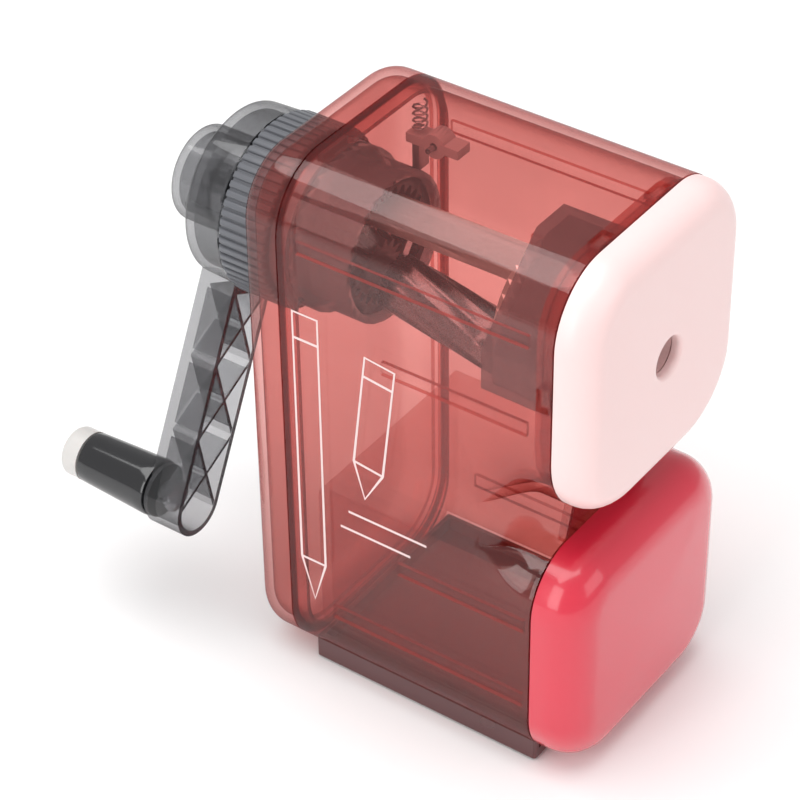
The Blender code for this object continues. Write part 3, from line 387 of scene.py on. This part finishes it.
def solid_plastic(name, colour, second, roughness, grain_mm, depth_mm, coat=0.0, subsurface=0.0):
    """Opaque moulded plastic: two near shades drift over it, and a fine skin breaks up the reflections."""
    mat, tree = new_material(name)
    noise, bump = surface_grain(tree, grain_mm, depth_mm)
    coords = node(tree, "ShaderNodeTexCoord")
    drift = node(tree, "ShaderNodeTexNoise", {"Vector": coords.outputs["Object"], "Scale": 30.0,
                                              "Detail": 1.0})
    shade = node(tree, "ShaderNodeMix", {0: drift.outputs["Fac"], 6: linear(colour), 7: linear(second)},
                 data_type="RGBA")
    rough = uneven(tree, noise, roughness, 0.18)
    skin = node(tree, "ShaderNodeBsdfPrincipled",
                {"Base Color": shade.outputs[2], "Roughness": rough.outputs[0], "IOR": 1.5, "Coat Weight": coat,
                 "Coat Roughness": 0.06, "Subsurface Weight": subsurface,
                 "Subsurface Radius": (0.004, 0.002, 0.002), "Normal": bump.outputs[0]})
    node(tree, "ShaderNodeOutputMaterial", {"Surface": skin.outputs[0]})
    return mat


def metal(name, colour, second, roughness, grain_mm, depth_mm):
    """Bare metal: blotches of two greys and a bump as rough as the way it was made."""
    mat, tree = new_material(name)
    noise, bump = surface_grain(tree, grain_mm, depth_mm, 3.0)
    shade = node(tree, "ShaderNodeMix", {0: noise.outputs["Fac"], 6: linear(colour), 7: linear(second)},
                 data_type="RGBA")
    rough = uneven(tree, noise, roughness, 0.3)
    face = node(tree, "ShaderNodeBsdfPrincipled", {"Base Color": shade.outputs[2], "Metallic": 1.0,
                                                   "Roughness": rough.outputs[0], "Normal": bump.outputs[0]})
    node(tree, "ShaderNodeOutputMaterial", {"Surface": face.outputs[0]})
    return mat


# clear red polystyrene, polished mould: the casing shows the mechanism through two red walls
CLEAR_RED = clear_plastic("clear_red_polystyrene", "#FCE1DE", "#B45852", "#D8443E", 0.03, 0.04)
# the cut edges of that wall: deeper red where light runs the long way through the plastic, and darker still
# with painted shade for the dark seam and rim lines
RIM_RED_AND_PAINTED_SHADE = clear_plastic("rim_red_and_painted_shade_polystyrene", "#C87C7A", "#8A3436", "#7A2428", 0.32, 0.10)
# the guide ribs' narrow sides, which pipe light: a more solid, paler red paints that piped light in as a
# painted highlight, read as bright red lines
RIB_RED_AND_PAINTED_HIGHLIGHT = clear_plastic("rib_red_painted_highlight_polystyrene", "#E49890", "#B84C46", "#DC6C62", 0.4, 0.10)
# the drawer's tray: thin walls with hardly any tint
TRAY_RED = clear_plastic("tray_red_polystyrene", "#FBEAE8", "#E8B0AC", "#D87872", 0.015, 0.05)
# the same plastic in the thick inner ring and bulkhead, a little lighter and milkier
INNER_RED = clear_plastic("inner_red_polystyrene", "#F6D6D3", "#E08880", "#E87870", 0.14, 0.12)
# deep red in the heavy base strip, seen along its length
BASE_RED = clear_plastic("base_red_polystyrene", "#9C5C5A", "#6A2828", "#52181A", 0.92, 0.3)
# smoke-tinted polystyrene, polished: crank, hub and dial are see-through grey
SMOKE = clear_plastic("smoke_polystyrene", "#EAEAEB", "#38383C", "#606063", 0.10, 0.06)
DARK_SMOKE = clear_plastic("dark_smoke_polystyrene", "#DED8DA", "#747276", "#8A8488", 0.38, 0.1)
# the arm's open rims and ribs: deeper grey where light runs along them, darkened further with painted shade
SMOKE_RIM_AND_PAINTED_SHADE = clear_plastic("smoke_rim_and_painted_shade_polystyrene", "#8A8A8C", "#3A3A3E", "#3C3B3F", 0.55, 0.08)
# the solid grip, nearly black with a soft sheen
HANDLE_SMOKE = clear_plastic("handle_smoke_polystyrene", "#5A5A5C", "#3A3A3C", "#262629", 0.62, 0.12)
# pale pink ABS, soft gloss from a fine-polished mould
PALE_PINK = solid_plastic("pale_pink_abs", "#F4D2D0", "#F6D8D6", 0.34, 0.5, 0.0006, 0.10, 0.06)
# gloss red ABS with a lacquer-like skin
GLOSS_RED = solid_plastic("gloss_red_abs", "#D22A40", "#D83046", 0.24, 0.8, 0.0008, 0.6, 0.04)
# satin grey nylon of the ribbed ring
GREY_NYLON = solid_plastic("satin_grey_nylon", "#5E6065", "#64666B", 0.38, 0.4, 0.002, 0.0)
# the latch lever's natural nylon, thin enough to glow a little
PALE_NYLON = solid_plastic("pale_grey_nylon", "#B4A8A8", "#BCB0B0", 0.35, 0.4, 0.002, 0.0, 0.2)
# black acetal of the gears and bushes, dull
BLACK_ACETAL = solid_plastic("black_acetal", "#1E1E20", "#26262A", 0.42, 0.5, 0.002)
# cloudy cap: light scatters inside it
MILKY_CAP = solid_plastic("milky_polypropylene", "#C8C5C2", "#D0CDCA", 0.32, 0.6, 0.001, 0.1, 0.1)
# printed white ink on the wall, flat and a little dull
WHITE_INK = solid_plastic("white_pad_ink", "#E6D2D0", "#E2CCCA", 0.55, 0.3, 0.0006)
# zinc die casting: dull silver with a grainy skin
CAST_ZINC = metal("die_cast_zinc", "#F2F0EC", "#D8D6D2", 0.5, 1.2, 0.03)
# hardened steel, ground and oiled: darker, with a fine grind
GROUND_STEEL = metal("ground_steel", "#8A8A8C", "#68686C", 0.28, 0.25, 0.004)
# drawn bright steel of pins, springs and screws
BRIGHT_STEEL = metal("drawn_steel", "#C0C0C2", "#A6A6AA", 0.22, 0.3, 0.002)
# dull black rubber of the pad
RUBBER = solid_plastic("dull_rubber", "#3A3234", "#42383A", 0.85, 0.35, 0.02)


def place(obj, mat, body, *nodes):
    """Gives a finished piece its material and body, and hides the CAD nodes that it stands for."""
    obj.data.materials.clear()
    obj.data.materials.append(mat)
    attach(obj, body)
    if nodes:
        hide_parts(*nodes)
    return obj


def face_material(obj, mat, chosen):
    """Gives a second material to the faces that chosen(centre in mm, normal) picks."""
    obj.data.materials.append(mat)
    index = len(obj.data.materials) - 1
    for face in obj.data.polygons:
        if chosen(face.center / MM, face.normal):
            face.material_index = index


def rim_shade_material(obj, mat, *levels):
    """Gives the narrow faces that look along Y near these levels of y the material of a rim: its deeper tint
    and painted shade.
    """
    face_material(obj, mat, lambda c, n: abs(n.y) > 0.35 and any(low < c.y < high for low, high in levels))


def on_rib_side(c, n):
    """Whether a face is a narrow side of a guide rib."""
    wall = HALF_W - WALL
    return abs(n.z) > 0.35 and wall - RIB_DEPTH - 0.1 < abs(c.x) < wall and any(
        abs(c.z - level) < 0.25 for rib in RIBS for level in rib[:2])


# ---------------------------------------------------------------- casing
def waisted_section(inset, fade):
    """Body outline; with fade 1 the two stacked squares and their neck."""
    steps = 14
    w = HALF_W - inset
    upper_r, lower_r, corner = UPPER_CORNER_R - inset, LOWER_CORNER_R - inset, CORNER_R - inset
    side = arc(w - corner, TOP_Z - inset - corner, corner, 90, 0, steps)
    notch = arc(w - upper_r, UPPER_Z + inset + upper_r, upper_r, 0, -90, steps)
    notch += arc(w - lower_r, LOWER_Z - inset - lower_r, lower_r, 90, 0, steps)
    side += [(w - fade * (w - max(x, NECK - inset)), z) for x, z in notch]
    side += arc(w - corner, FOOT_Z + inset + corner, corner, 0, -90, steps)
    return side + [(-x, z) for x, z in reversed(side)]


def waisted_body(name, inset, y_back, y_front):
    """Body whose sides sink in towards the front."""
    steps = 16
    rings = [at_y(waisted_section(inset, 0.0), y_back)]
    for i in range(steps + 1):
        s = i / steps
        y = WAIST_START_Y + (LOWER_FRONT_Y + 1.0 - WAIST_START_Y) * s
        rings.append(at_y(waisted_section(inset, s * s * (3 - 2 * s)), y))
    rings.append(at_y(waisted_section(inset, 1.0), y_front))
    return sweep(name, rings)


def front_shell():
    """Front of the casing: waisted tube with its foot opening, guide ribs and tab windows."""
    shell = waisted_body("clear_front_shell", 0.0, SEAM_Y - GAP / 2, UPPER_FRONT_Y)
    inside = waisted_body("shell_inside", WALL, SEAM_Y + 2, UPPER_FRONT_Y - 2)
    step = block("shell_step", (-40, UPPER_FRONT_Y - 3, -5), (40, LOWER_FRONT_Y, UPPER_Z - 0.05))
    foot = block("shell_foot", (-FOOT_HALF_W - GAP, -40, -5), (FOOT_HALF_W + GAP, SEAM_Y - 2.6, 9.6))
    cut(shell, inside, step, foot)
    neck, shoulder = NECK - 0.8, HALF_W - LOWER_CORNER_R - 0.8
    top, bottom = UPPER_Z + WALL - 0.2, LOWER_Z - WALL + 0.1
    outline = [(-neck, top), (-neck, UPPER_Z), (-shoulder, LOWER_Z), (-shoulder, bottom),
               (shoulder, bottom), (shoulder, LOWER_Z), (neck, UPPER_Z), (neck, top)]
    bridge_y = LOWER_FRONT_Y + 0.3
    bridge = sweep("shell_bridge", [at_y(outline, bridge_y), at_y(outline, bridge_y + WALL)])
    sill = block("shell_sill", (-neck, UPPER_FRONT_Y + 0.1, UPPER_Z + 0.1),
                 (neck, LOWER_FRONT_Y + 1.0, UPPER_Z + WALL - 0.3))
    fuse(shell, bridge, sill)
    wall_x = HALF_W - WALL
    front = LOWER_FRONT_Y + 2.6
    for low, high, rear in RIBS:
        for side in (-1, 1):
            inner, outer = sorted((side * (wall_x - RIB_DEPTH), side * (wall_x + 0.3)))
            fuse(shell, block("shell_rib", (inner, front, low), (outer, rear, high)))
    w, h = WINDOW_HALF
    for side in (-1, 1):
        x = side * TAB_X
        cut(shell, block("top_window", (x - w, TAB_Y - h, TOP_Z - 3), (x + w, TAB_Y + h, TOP_Z + 1)))
        inner, outer = sorted((side * (wall_x - 1), side * (HALF_W + 1)))
        cut(shell, block("side_window", (inner, TAB_Y - h, TAB_SIDE_Z - w), (outer, TAB_Y + h, TAB_SIDE_Z + w)))
    soften(shell, 0.22)
    return finish_mesh(shell, 32.0)


def domed(section, y_open, y_face, edge_r, inset, crown=0.0, steps=12):
    """Rings of a cap: straight, rounded over its edge, then a very slightly crowned face."""
    way = 1 if y_face > y_open else -1
    flat_y = y_face - way * crown
    start = flat_y - way * edge_r
    rings = [at_y(section(inset), y_open), at_y(section(inset), start)]
    for i in range(1, steps + 1):
        a = math.radians(90 * i / steps)
        rings.append(at_y(section(inset + edge_r * (1 - math.cos(a))), start + way * edge_r * math.sin(a)))
    if crown:
        face = section(inset + edge_r)
        cx = sum(p[0] for p in face) / len(face)
        cz = (min(p[1] for p in face) + max(p[1] for p in face)) / 2
        for i in range(1, 7):
            s = 1 - i / 7
            crown_y = flat_y + way * crown * (1 - s * s)
            rings.append([(cx + (x - cx) * s, crown_y, cz + (z - cz) * s) for x, z in face])
    return rings


def rear_cover():
    """Back of the casing: domed cap with a lip that enters the shell and the hole for the collar."""
    cover = sweep("clear_rear_cover", domed(full_section, SEAM_Y + GAP / 2, COVER_Y, REAR_EDGE_R, 0.0))
    cut(cover, sweep("cover_inside", domed(full_section, SEAM_Y - 4, COVER_Y - WALL, REAR_EDGE_R - WALL, WALL)))
    lip_back = SEAM_Y + 1.6
    lip_outline = full_section(WALL + GAP)
    lip = sweep("cover_lip", [at_y(lip_outline, SEAM_Y - 2.2), at_y(lip_outline, SEAM_Y + 0.4),
                              at_y(full_section(WALL - 0.6), lip_back)])
    hollow = full_section(WALL + GAP + 1.0)
    cut(lip, sweep("lip_inside", [at_y(hollow, SEAM_Y - 6), at_y(hollow, lip_back + 1)]))
    fuse(cover, lip)
    cut(cover, drum("cover_hole", SLEEVE_R + GAP, COVER_Y - 4, COVER_Y + 4, 96))
    soften(cover, 0.2)
    return finish_mesh(cover, 32.0)


def front_plate():
    """Pale cap of the upper square end, with the rounded pencil hole."""
    def section(inset):
        return upper_square(inset + 0.1)

    back = UPPER_FRONT_Y - GAP
    plate = sweep("front_plate_cover", domed(section, back, FACE_Y, PLATE_EDGE_R, 0.0, 0.35))
    cut(plate, sweep("plate_inside", domed(section, back + 1, FACE_Y + 2.0, PLATE_EDGE_R - 2.0, 2.0)))
    lip = [(0.001, FACE_Y + 5), (BORE_R - 0.3, FACE_Y + 5), (BORE_R - 0.3, FACE_Y + 1.3)]
    for i in range(1, 7):
        a = math.radians(90 * i / 6)
        lip.append((BORE_R - 0.3 + 0.9 * (1 - math.cos(a)), FACE_Y + 1.3 - 1.3 * math.sin(a)))
    lip += [(BORE_R + 0.6, FACE_Y - 2), (0.001, FACE_Y - 2)]
    cut(plate, lathe("plate_hole", lip, 64))
    return finish_mesh(plate, 30.0)


def drawer_front():
    """Glossy cap of the lower square end."""
    def section(inset):
        return lower_square(inset + 0.1)

    back = LOWER_FRONT_Y - GAP
    front = sweep("drawer_front_cover", domed(section, back, FACE_Y, DRAWER_EDGE_R, 0.0, 0.5))
    cut(front, sweep("drawer_inside", domed(section, back + 1, FACE_Y + 2.2, DRAWER_EDGE_R - 2.2, 2.2)))
    return finish_mesh(front, 30.0)


# ---------------------------------------------------------------- collar, hub, dial and handle
def lock_collar():
    """Ribbed ring: one rib is shaped, then set round the ring."""
    outline = []
    for i in range(COLLAR_RIBS):
        for share, depth in ((0.0, 0.12), (0.1, 0.0), (0.5, 0.0), (0.6, 0.12), (0.68, 0.55), (0.92, 0.55)):
            a = math.tau * (i + share) / COLLAR_RIBS
            outline.append((COLLAR_R - depth, a))

    def ring(inset, y):
        return [((r - inset) * math.cos(a), y, AXIS_Z + (r - inset) * math.sin(a)) for r, a in outline]

    y0, y1 = COLLAR_Y
    collar = sweep("ribbed_collar", [ring(0.5, y0), ring(0.1, y0 + 0.3), ring(0.0, y0 + 0.6),
                                     ring(0.0, y1 - 0.6), ring(0.1, y1 - 0.3), ring(0.5, y1)])
    fuse(collar, drum("collar_sleeve", SLEEVE_R, collar_low.y, y0 + 1, 96))
    for i in range(COLLAR_LUGS):
        lug = block("collar_lug", (-LUG_HALF_W, collar_low.y + 0.05, AXIS_Z + HOUSING_R + 0.6),
                    (LUG_HALF_W, collar_low.y + 1.3, AXIS_Z + SLEEVE_R + 1.3))
        turn_round_axis(lug, -math.tau * i / COLLAR_LUGS)
        fuse(collar, lug)
    cut(collar, drum("collar_bore", HOUSING_R + GAP, collar_low.y - 4, y1 + 4, 96))
    return finish_mesh(collar, 30.0)


def turn_round_axis(obj, angle):
    """Turns a piece's mesh round the crank's axis, from +Z towards +X."""
    c, s = math.cos(angle), math.sin(angle)
    for v in obj.data.vertices:
        x, z = v.co.x, v.co.z - AXIS_Z * MM
        v.co.x, v.co.z = c * x + s * z, AXIS_Z * MM - s * x + c * z


DOWN = Vector((-math.sin(LEAN), 0, -math.cos(LEAN)))
ACROSS = Vector((math.cos(LEAN), 0, -math.sin(LEAN)))


def arm_point(along, across):
    """Point (x, z) from distances along and across the arm."""
    p = DOWN * along + ACROSS * across
    return (p.x, AXIS_Z + p.z)


def arm_outline(inset, start):
    """Outline of the arm, from start to its round far end."""
    half = ARM_W / 2 - inset
    points = [arm_point(start, -half), arm_point(ARM_LENGTH, -half)]
    points += [arm_point(ARM_LENGTH + half * math.sin(math.pi * i / 24), -half * math.cos(math.pi * i / 24))
               for i in range(1, 24)]
    return points + [arm_point(ARM_LENGTH, half), arm_point(start, half)]


def strip(start, end, thick):
    """Outline of a thin rib between two points of the arm."""
    a, b = Vector(arm_point(*start)), Vector(arm_point(*end))
    side = (b - a).normalized().orthogonal() * thick / 2
    return [tuple(a - side), tuple(b - side), tuple(b + side), tuple(a + side)]


def slab(name, outline, y0, y1):
    """Flat outline made solid between two y."""
    return sweep(name, [at_y(outline, y0), at_y(outline, y1)])


def crank_arm():
    """Hub and arm in one moulding: round hub with a boss, open tray with crossed ribs."""
    edge, back, bore = HUB_EDGE_R, HUB_Y[1], SHAFT_R + 0.15
    inner, floor_y, boss_y = HUB_R - HUB_WALL, back - HUB_WALL, HUB_Y[0] + 0.6
    hub = [(bore, back)]
    for i in range(9):
        a = math.radians(90 - 90 * i / 8)
        hub.append((HUB_R - edge + edge * math.cos(a) - 0.3, back - edge + edge * math.sin(a)))
    hub += [(HUB_R, HUB_Y[0]), (inner, HUB_Y[0]), (inner, floor_y), (BOSS_R, floor_y),
            (BOSS_R, boss_y), (bore, boss_y), (bore, back)]
    arm = lathe("smoke_crank_arm", hub)
    tray = slab("arm_tray", arm_outline(0.0, HUB_R - 3.0), ARM_Y[0], ARM_Y[1])
    cut(tray, slab("arm_tray_inside", arm_outline(ARM_WALL, HUB_R + 1.2), ARM_Y[0] - 3, ARM_Y[1] - ARM_FLOOR),
        drum("arm_pin_hole", 2.3, ARM_Y[1] - 3, ARM_Y[1] + 3, 32, HANDLE_AT),
        drum("arm_hub_clearance", HUB_R - 1.0, ARM_Y[0] - 3, ARM_Y[1] + 3, 64))
    fuse(arm, tray)
    first, last = HUB_R + 0.4, ARM_LENGTH + 1.0
    reach = ARM_W / 2 - ARM_WALL / 2
    for bay in range(ARM_BAYS):
        a = first + (last - first) * bay / ARM_BAYS
        b = first + (last - first) * (bay + 1) / ARM_BAYS
        for way in (-1, 1):
            rib = strip((a, -way * reach), (b, way * reach), 0.8)
            fuse(arm, slab("arm_rib", rib, ARM_Y[0] + 0.05, ARM_Y[1] - 1.0))
    cut(arm, drum("hub_nut_seat", NUT_SEAT_R, back - 2.2, back + 3, 64))
    soften(arm, 0.25)
    return finish_mesh(arm, 32.0)


def cup(name, radius, y0, y1, edge, wall, at, boss=0.0, bore=0.0):
    """Round cup open at y0, its far edge rounded, with an optional bored boss inside."""
    profile = [(0.0, y1)]
    for i in range(9):
        a = math.radians(90 - 90 * i / 8)
        profile.append((radius - edge + edge * math.cos(a), y1 - edge + edge * math.sin(a)))
    profile += [(radius, y0), (radius - wall, y0), (radius - wall, y1 - 1.6)]
    if boss:
        profile += [(boss, y1 - 1.6), (boss, y0 + 0.6), (bore, y0 + 0.6), (bore, y1 - 3.0), (0.0, y1 - 3.0)]
    else:
        profile += [(0.0, y1 - 1.6)]
    return lathe(name, profile, 72, at)


def handle_sleeve():
    """Turned grip, fuller at the washer and drawn in at the cap."""
    y0, y1 = sleeve_low.y, sleeve_high.y
    inner = 2.2
    r0, r1 = sleeve_high.x - HANDLE_X, sleeve_high.x - HANDLE_X - 0.7
    profile = [(inner, y1), (r1 - 0.5, y1), (r1 - 0.1, y1 - 0.2), (r1, y1 - 0.6)]
    for i in range(1, 8):
        s = i / 8
        profile.append((r1 + (r0 - r1) * s, y1 - 0.6 - (y1 - y0 - 1.4) * s))
    profile += [(r0, y0 + 0.8), (r0 - 0.15, y0 + 0.25), (r0 - 0.6, y0), (inner, y0), (inner, y1)]
    return lathe("smoke_handle_sleeve", profile, 72, HANDLE_AT)


def smooth_copy(name):
    """Merged copy of a CAD node with its round faces smoothed."""
    source = frame["nodes"][name]
    select_none()
    obj = bpy.data.objects.new(f"{name}_smooth", source.data.copy())
    bpy.context.scene.collection.objects.link(obj)
    return finish_mesh(obj, 30.0)


# ---------------------------------------------------------------- pieces on their bodies
shell = place(front_shell(), CLEAR_RED, "body", "front_shell")
# seam and front rims: deeper red of the long path, with painted shade for the dark lines
rim_shade_material(shell, RIM_RED_AND_PAINTED_SHADE, (SEAM_Y - 0.6, SEAM_Y), (UPPER_FRONT_Y - 0.1, UPPER_FRONT_Y + 0.5),
              (LOWER_FRONT_Y - 0.1, LOWER_FRONT_Y + 0.5))
# rib sides: painted highlight for the bright lines of piped light
face_material(shell, RIB_RED_AND_PAINTED_HIGHLIGHT, on_rib_side)
cover = place(rear_cover(), CLEAR_RED, "body", "rear_cover")
# cover rims at the seam: deeper red with painted shade
rim_shade_material(cover, RIM_RED_AND_PAINTED_SHADE, (SEAM_Y, SEAM_Y + 0.6), (SEAM_Y - 2.3, SEAM_Y - 1.7))
place(front_plate(), PALE_PINK, "body", "front_plate")
place(drawer_front(), GLOSS_RED, "drawer", "drawer_front")
place(lock_collar(), GREY_NYLON, "collar", "lock_collar")
arm = place(crank_arm(), SMOKE, "crank", "crank_arm")
# arm rims and rib tops: deeper grey with painted shade
rim_shade_material(arm, SMOKE_RIM_AND_PAINTED_SHADE, (ARM_Y[0] - 0.2, ARM_Y[0] + 0.35))
dial = cup("smoke_adjuster_dial", dial_high.x, dial_low.y, dial_high.y, 1.6, 1.5, AXIS_AT, 3.1, 1.45)
place(dial, SMOKE, "dial", "adjuster_dial")
place(handle_sleeve(), HANDLE_SMOKE, "handle", "handle_sleeve")
cap = cup("milky_handle_cap", cap_high.x - HANDLE_X, cap_low.y, cap_high.y, 1.5, 2.15, HANDLE_AT)
place(cap, MILKY_CAP, "handle", "handle_cap")

CAD_LOOKS = {
    BASE_RED: ("base_plate",),
    RUBBER: ("non_slip_pad",),
    INNER_RED: ("front_ring", "bulkhead"),
    TRAY_RED: ("drawer_tray",),
    PALE_PINK: ("pencil_guide",),
    DARK_SMOKE: ("chuck_housing", "mech_housing"),
    GREY_NYLON: ("jaw_upper", "jaw_lower"),
    PALE_NYLON: ("latch_lever",),
    BLACK_ACETAL: ("cutter_pinion", "ring_gear", "shaft_bush", "handle_washer"),
    CAST_ZINC: ("cutter_carrier",),
    GROUND_STEEL: ("helical_cutter",),
    BRIGHT_STEEL: ("chuck_screw_1", "chuck_screw_2", "cutter_pin", "hub_nut", "adjuster_rod", "point_stop",
                   "handle_pin", "latch_pin"),
}
ROUND_NODES = ("mech_housing", "ring_gear", "cutter_carrier", "helical_cutter", "cutter_pinion", "cutter_pin",
               "shaft_bush", "pencil_guide", "handle_washer", "adjuster_rod", "handle_pin", "chuck_screw_1",
               "chuck_screw_2", "latch_pin", "latch_lever")
for mat, names in CAD_LOOKS.items():
    for name in names:
        source = frame["nodes"][name]
        if name in ROUND_NODES:
            place(smooth_copy(name), mat, source["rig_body"], name)
        else:
            source.data.materials.clear()
            source.data.materials.append(mat)

# springs in bright steel, each a smoothed copy with its own mesh: joint, fixed end, share of length left
SPRINGS = {
    "jaw_spring_upper": ("jaw_top_slide", max, 0.58),
    "jaw_spring_lower": ("jaw_bottom_slide", min, 0.58),
    "latch_spring": ("latch_swing", max, 0.78),
}
for name, (joint, fixed_end, keep) in SPRINGS.items():
    spring = place(smooth_copy(name), BRIGHT_STEEL, "body", name)
    end = fixed_end(v.co.z for v in spring.data.vertices)
    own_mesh(spring)

# ---------------------------------------------------------------- printed outlines on the left wall
INK_X = -HALF_W - 0.01
INK_WIDTH = 0.62


def ink(name, points, closed):
    """Printed line through (y, z) points on the wall: a round curve made a mesh and pressed flat."""
    curve = bpy.data.curves.new(name, "CURVE")
    curve.dimensions = "3D"
    curve.bevel_depth = INK_WIDTH / 2 * MM
    curve.bevel_resolution = 1
    curve.use_fill_caps = True
    spline = curve.splines.new("POLY")
    spline.points.add(len(points) - 1)
    for point, (y, z) in zip(spline.points, points):
        point.co = (0, y * MM, z * MM, 1)
    spline.use_cyclic_u = closed
    obj = bpy.data.objects.new(name, curve)
    bpy.context.scene.collection.objects.link(obj)
    select_none()
    obj.select_set(True)
    bpy.context.view_layer.objects.active = obj
    bpy.ops.object.convert(target="MESH")
    obj = bpy.context.object
    bpy.ops.object.mode_set(mode="EDIT")
    bpy.ops.mesh.select_all(action="SELECT")
    bpy.ops.transform.resize(value=(0.12, 1, 1))
    bpy.ops.transform.translate(value=(INK_X * MM, 0, 0))
    bpy.ops.object.mode_set(mode="OBJECT")
    return finish_mesh(obj, 40.0)


def leaning(points, y, z, angle):
    """Points turned by an angle and moved to (y, z) on the wall."""
    c, s = math.cos(angle), math.sin(angle)
    return [(y + c * a - s * b, z + s * a + c * b) for a, b in points]


def pencil_outline(half_w, length, shoulder):
    """Pencil with its point at the origin."""
    return [(-half_w, length), (-half_w, shoulder), (0.0, 0.0), (half_w, shoulder), (half_w, length)]


def crossing(half_w, z):
    """Line across a pencil."""
    return [(-half_w, z), (half_w, z)]


LONG_HALF_W, LONG_POINT = 2.9, 10.0
SHORT_HALF_W, SHORT_POINT = 3.4, 8.0
LONG_AT = (24.0, 20.0, 0.0)       # y and z of the point, and the lean
SHORT_AT = (11.0, 52.0, 0.12)
INK_LINES = {
    "print_long_pencil": (leaning(pencil_outline(LONG_HALF_W, 70.0, LONG_POINT), *LONG_AT), True),
    "print_long_ferrule": (leaning(crossing(LONG_HALF_W, 64.0), *LONG_AT), False),
    "print_long_shoulder": (leaning(crossing(LONG_HALF_W, LONG_POINT), *LONG_AT), False),
    "print_short_pencil": (leaning(pencil_outline(SHORT_HALF_W, 34.0, SHORT_POINT), *SHORT_AT), True),
    "print_short_shoulder": (leaning(crossing(SHORT_HALF_W, SHORT_POINT), *SHORT_AT), False),
    "print_short_ferrule": (leaning(crossing(SHORT_HALF_W, 29.5), *SHORT_AT), False),
    "print_upper_stroke": ([(15.0, 47.0), (-3.3, 47.0)], False),
    "print_lower_stroke": ([(17.0, 42.5), (0.5, 42.5)], False),
}
for name, (points, closed) in INK_LINES.items():
    place(ink(name, points, closed), WHITE_INK, "body")

# ---------------------------------------------------------------- stage
select_none()
bpy.ops.mesh.primitive_plane_add(size=4.0, location=(0, 0, 0))
floor = named("studio_floor")
floor_mat, tree = new_material("pale_paper")
_, bump = surface_grain(tree, 1.5, 0.004)
paper = node(tree, "ShaderNodeBsdfPrincipled", {"Base Color": linear("#FAFAFA"), "Roughness": 0.9,
                                                "Normal": bump.outputs[0]})
node(tree, "ShaderNodeOutputMaterial", {"Surface": paper.outputs[0]})
floor.data.materials.append(floor_mat)


def softbox(name, location, target, size, power):
    """White rectangular light turned to its target."""
    bpy.ops.object.light_add(type="AREA", location=location)
    lamp = bpy.context.object
    lamp.name = name
    lamp.data.shape = "RECTANGLE"
    lamp.data.size, lamp.data.size_y = size
    lamp.data.energy = power
    lamp.rotation_euler = (Vector(target) - Vector(location)).to_track_quat("-Z", "Y").to_euler()


AIM = Vector((-0.0144, 0.0117, 0.0675))     # middle of the sharpener, where lights and camera look
softbox("softbox_top", (-0.10, 0.10, 0.75), AIM, (0.7, 0.7), 4.5)
softbox("softbox_left", (-0.75, 0.05, 0.35), AIM, (0.4, 0.6), 2.0)
softbox("softbox_front", (0.10, -0.75, 0.40), AIM, (0.6, 0.4), 1.0)
world = bpy.data.worlds.new("studio")
bpy.context.scene.world = world
world.use_nodes = True
world.node_tree.nodes["Background"].inputs["Color"].default_value = linear("#FFFFFF")
world.node_tree.nodes["Background"].inputs["Strength"].default_value = 0.55
bpy.context.scene.view_settings.view_transform = "Standard"
bpy.context.scene.cycles.transparent_max_bounces = 32

azimuth, elevation, roll = (math.radians(a) for a in (-53.96, 37.93, -0.834))
distance = 0.552
back = Vector((math.sin(azimuth) * math.cos(elevation), -math.cos(azimuth) * math.cos(elevation),
               math.sin(elevation)))
camera_data = bpy.data.cameras.new("camera")
camera_data.lens = 130.35
camera_data.sensor_width = 36.0
camera_data.dof.use_dof = False
camera = bpy.data.objects.new("camera", camera_data)
bpy.context.scene.collection.objects.link(camera)
camera.location = AIM + back * distance
right = Vector((0, 0, 1)).cross(back).normalized()
up = back.cross(right)
right, up = (right * math.cos(roll) + up * math.sin(roll), up * math.cos(roll) - right * math.sin(roll))
camera.rotation_euler = Matrix((right, up, back)).transposed().to_euler()
bpy.context.scene.camera = camera
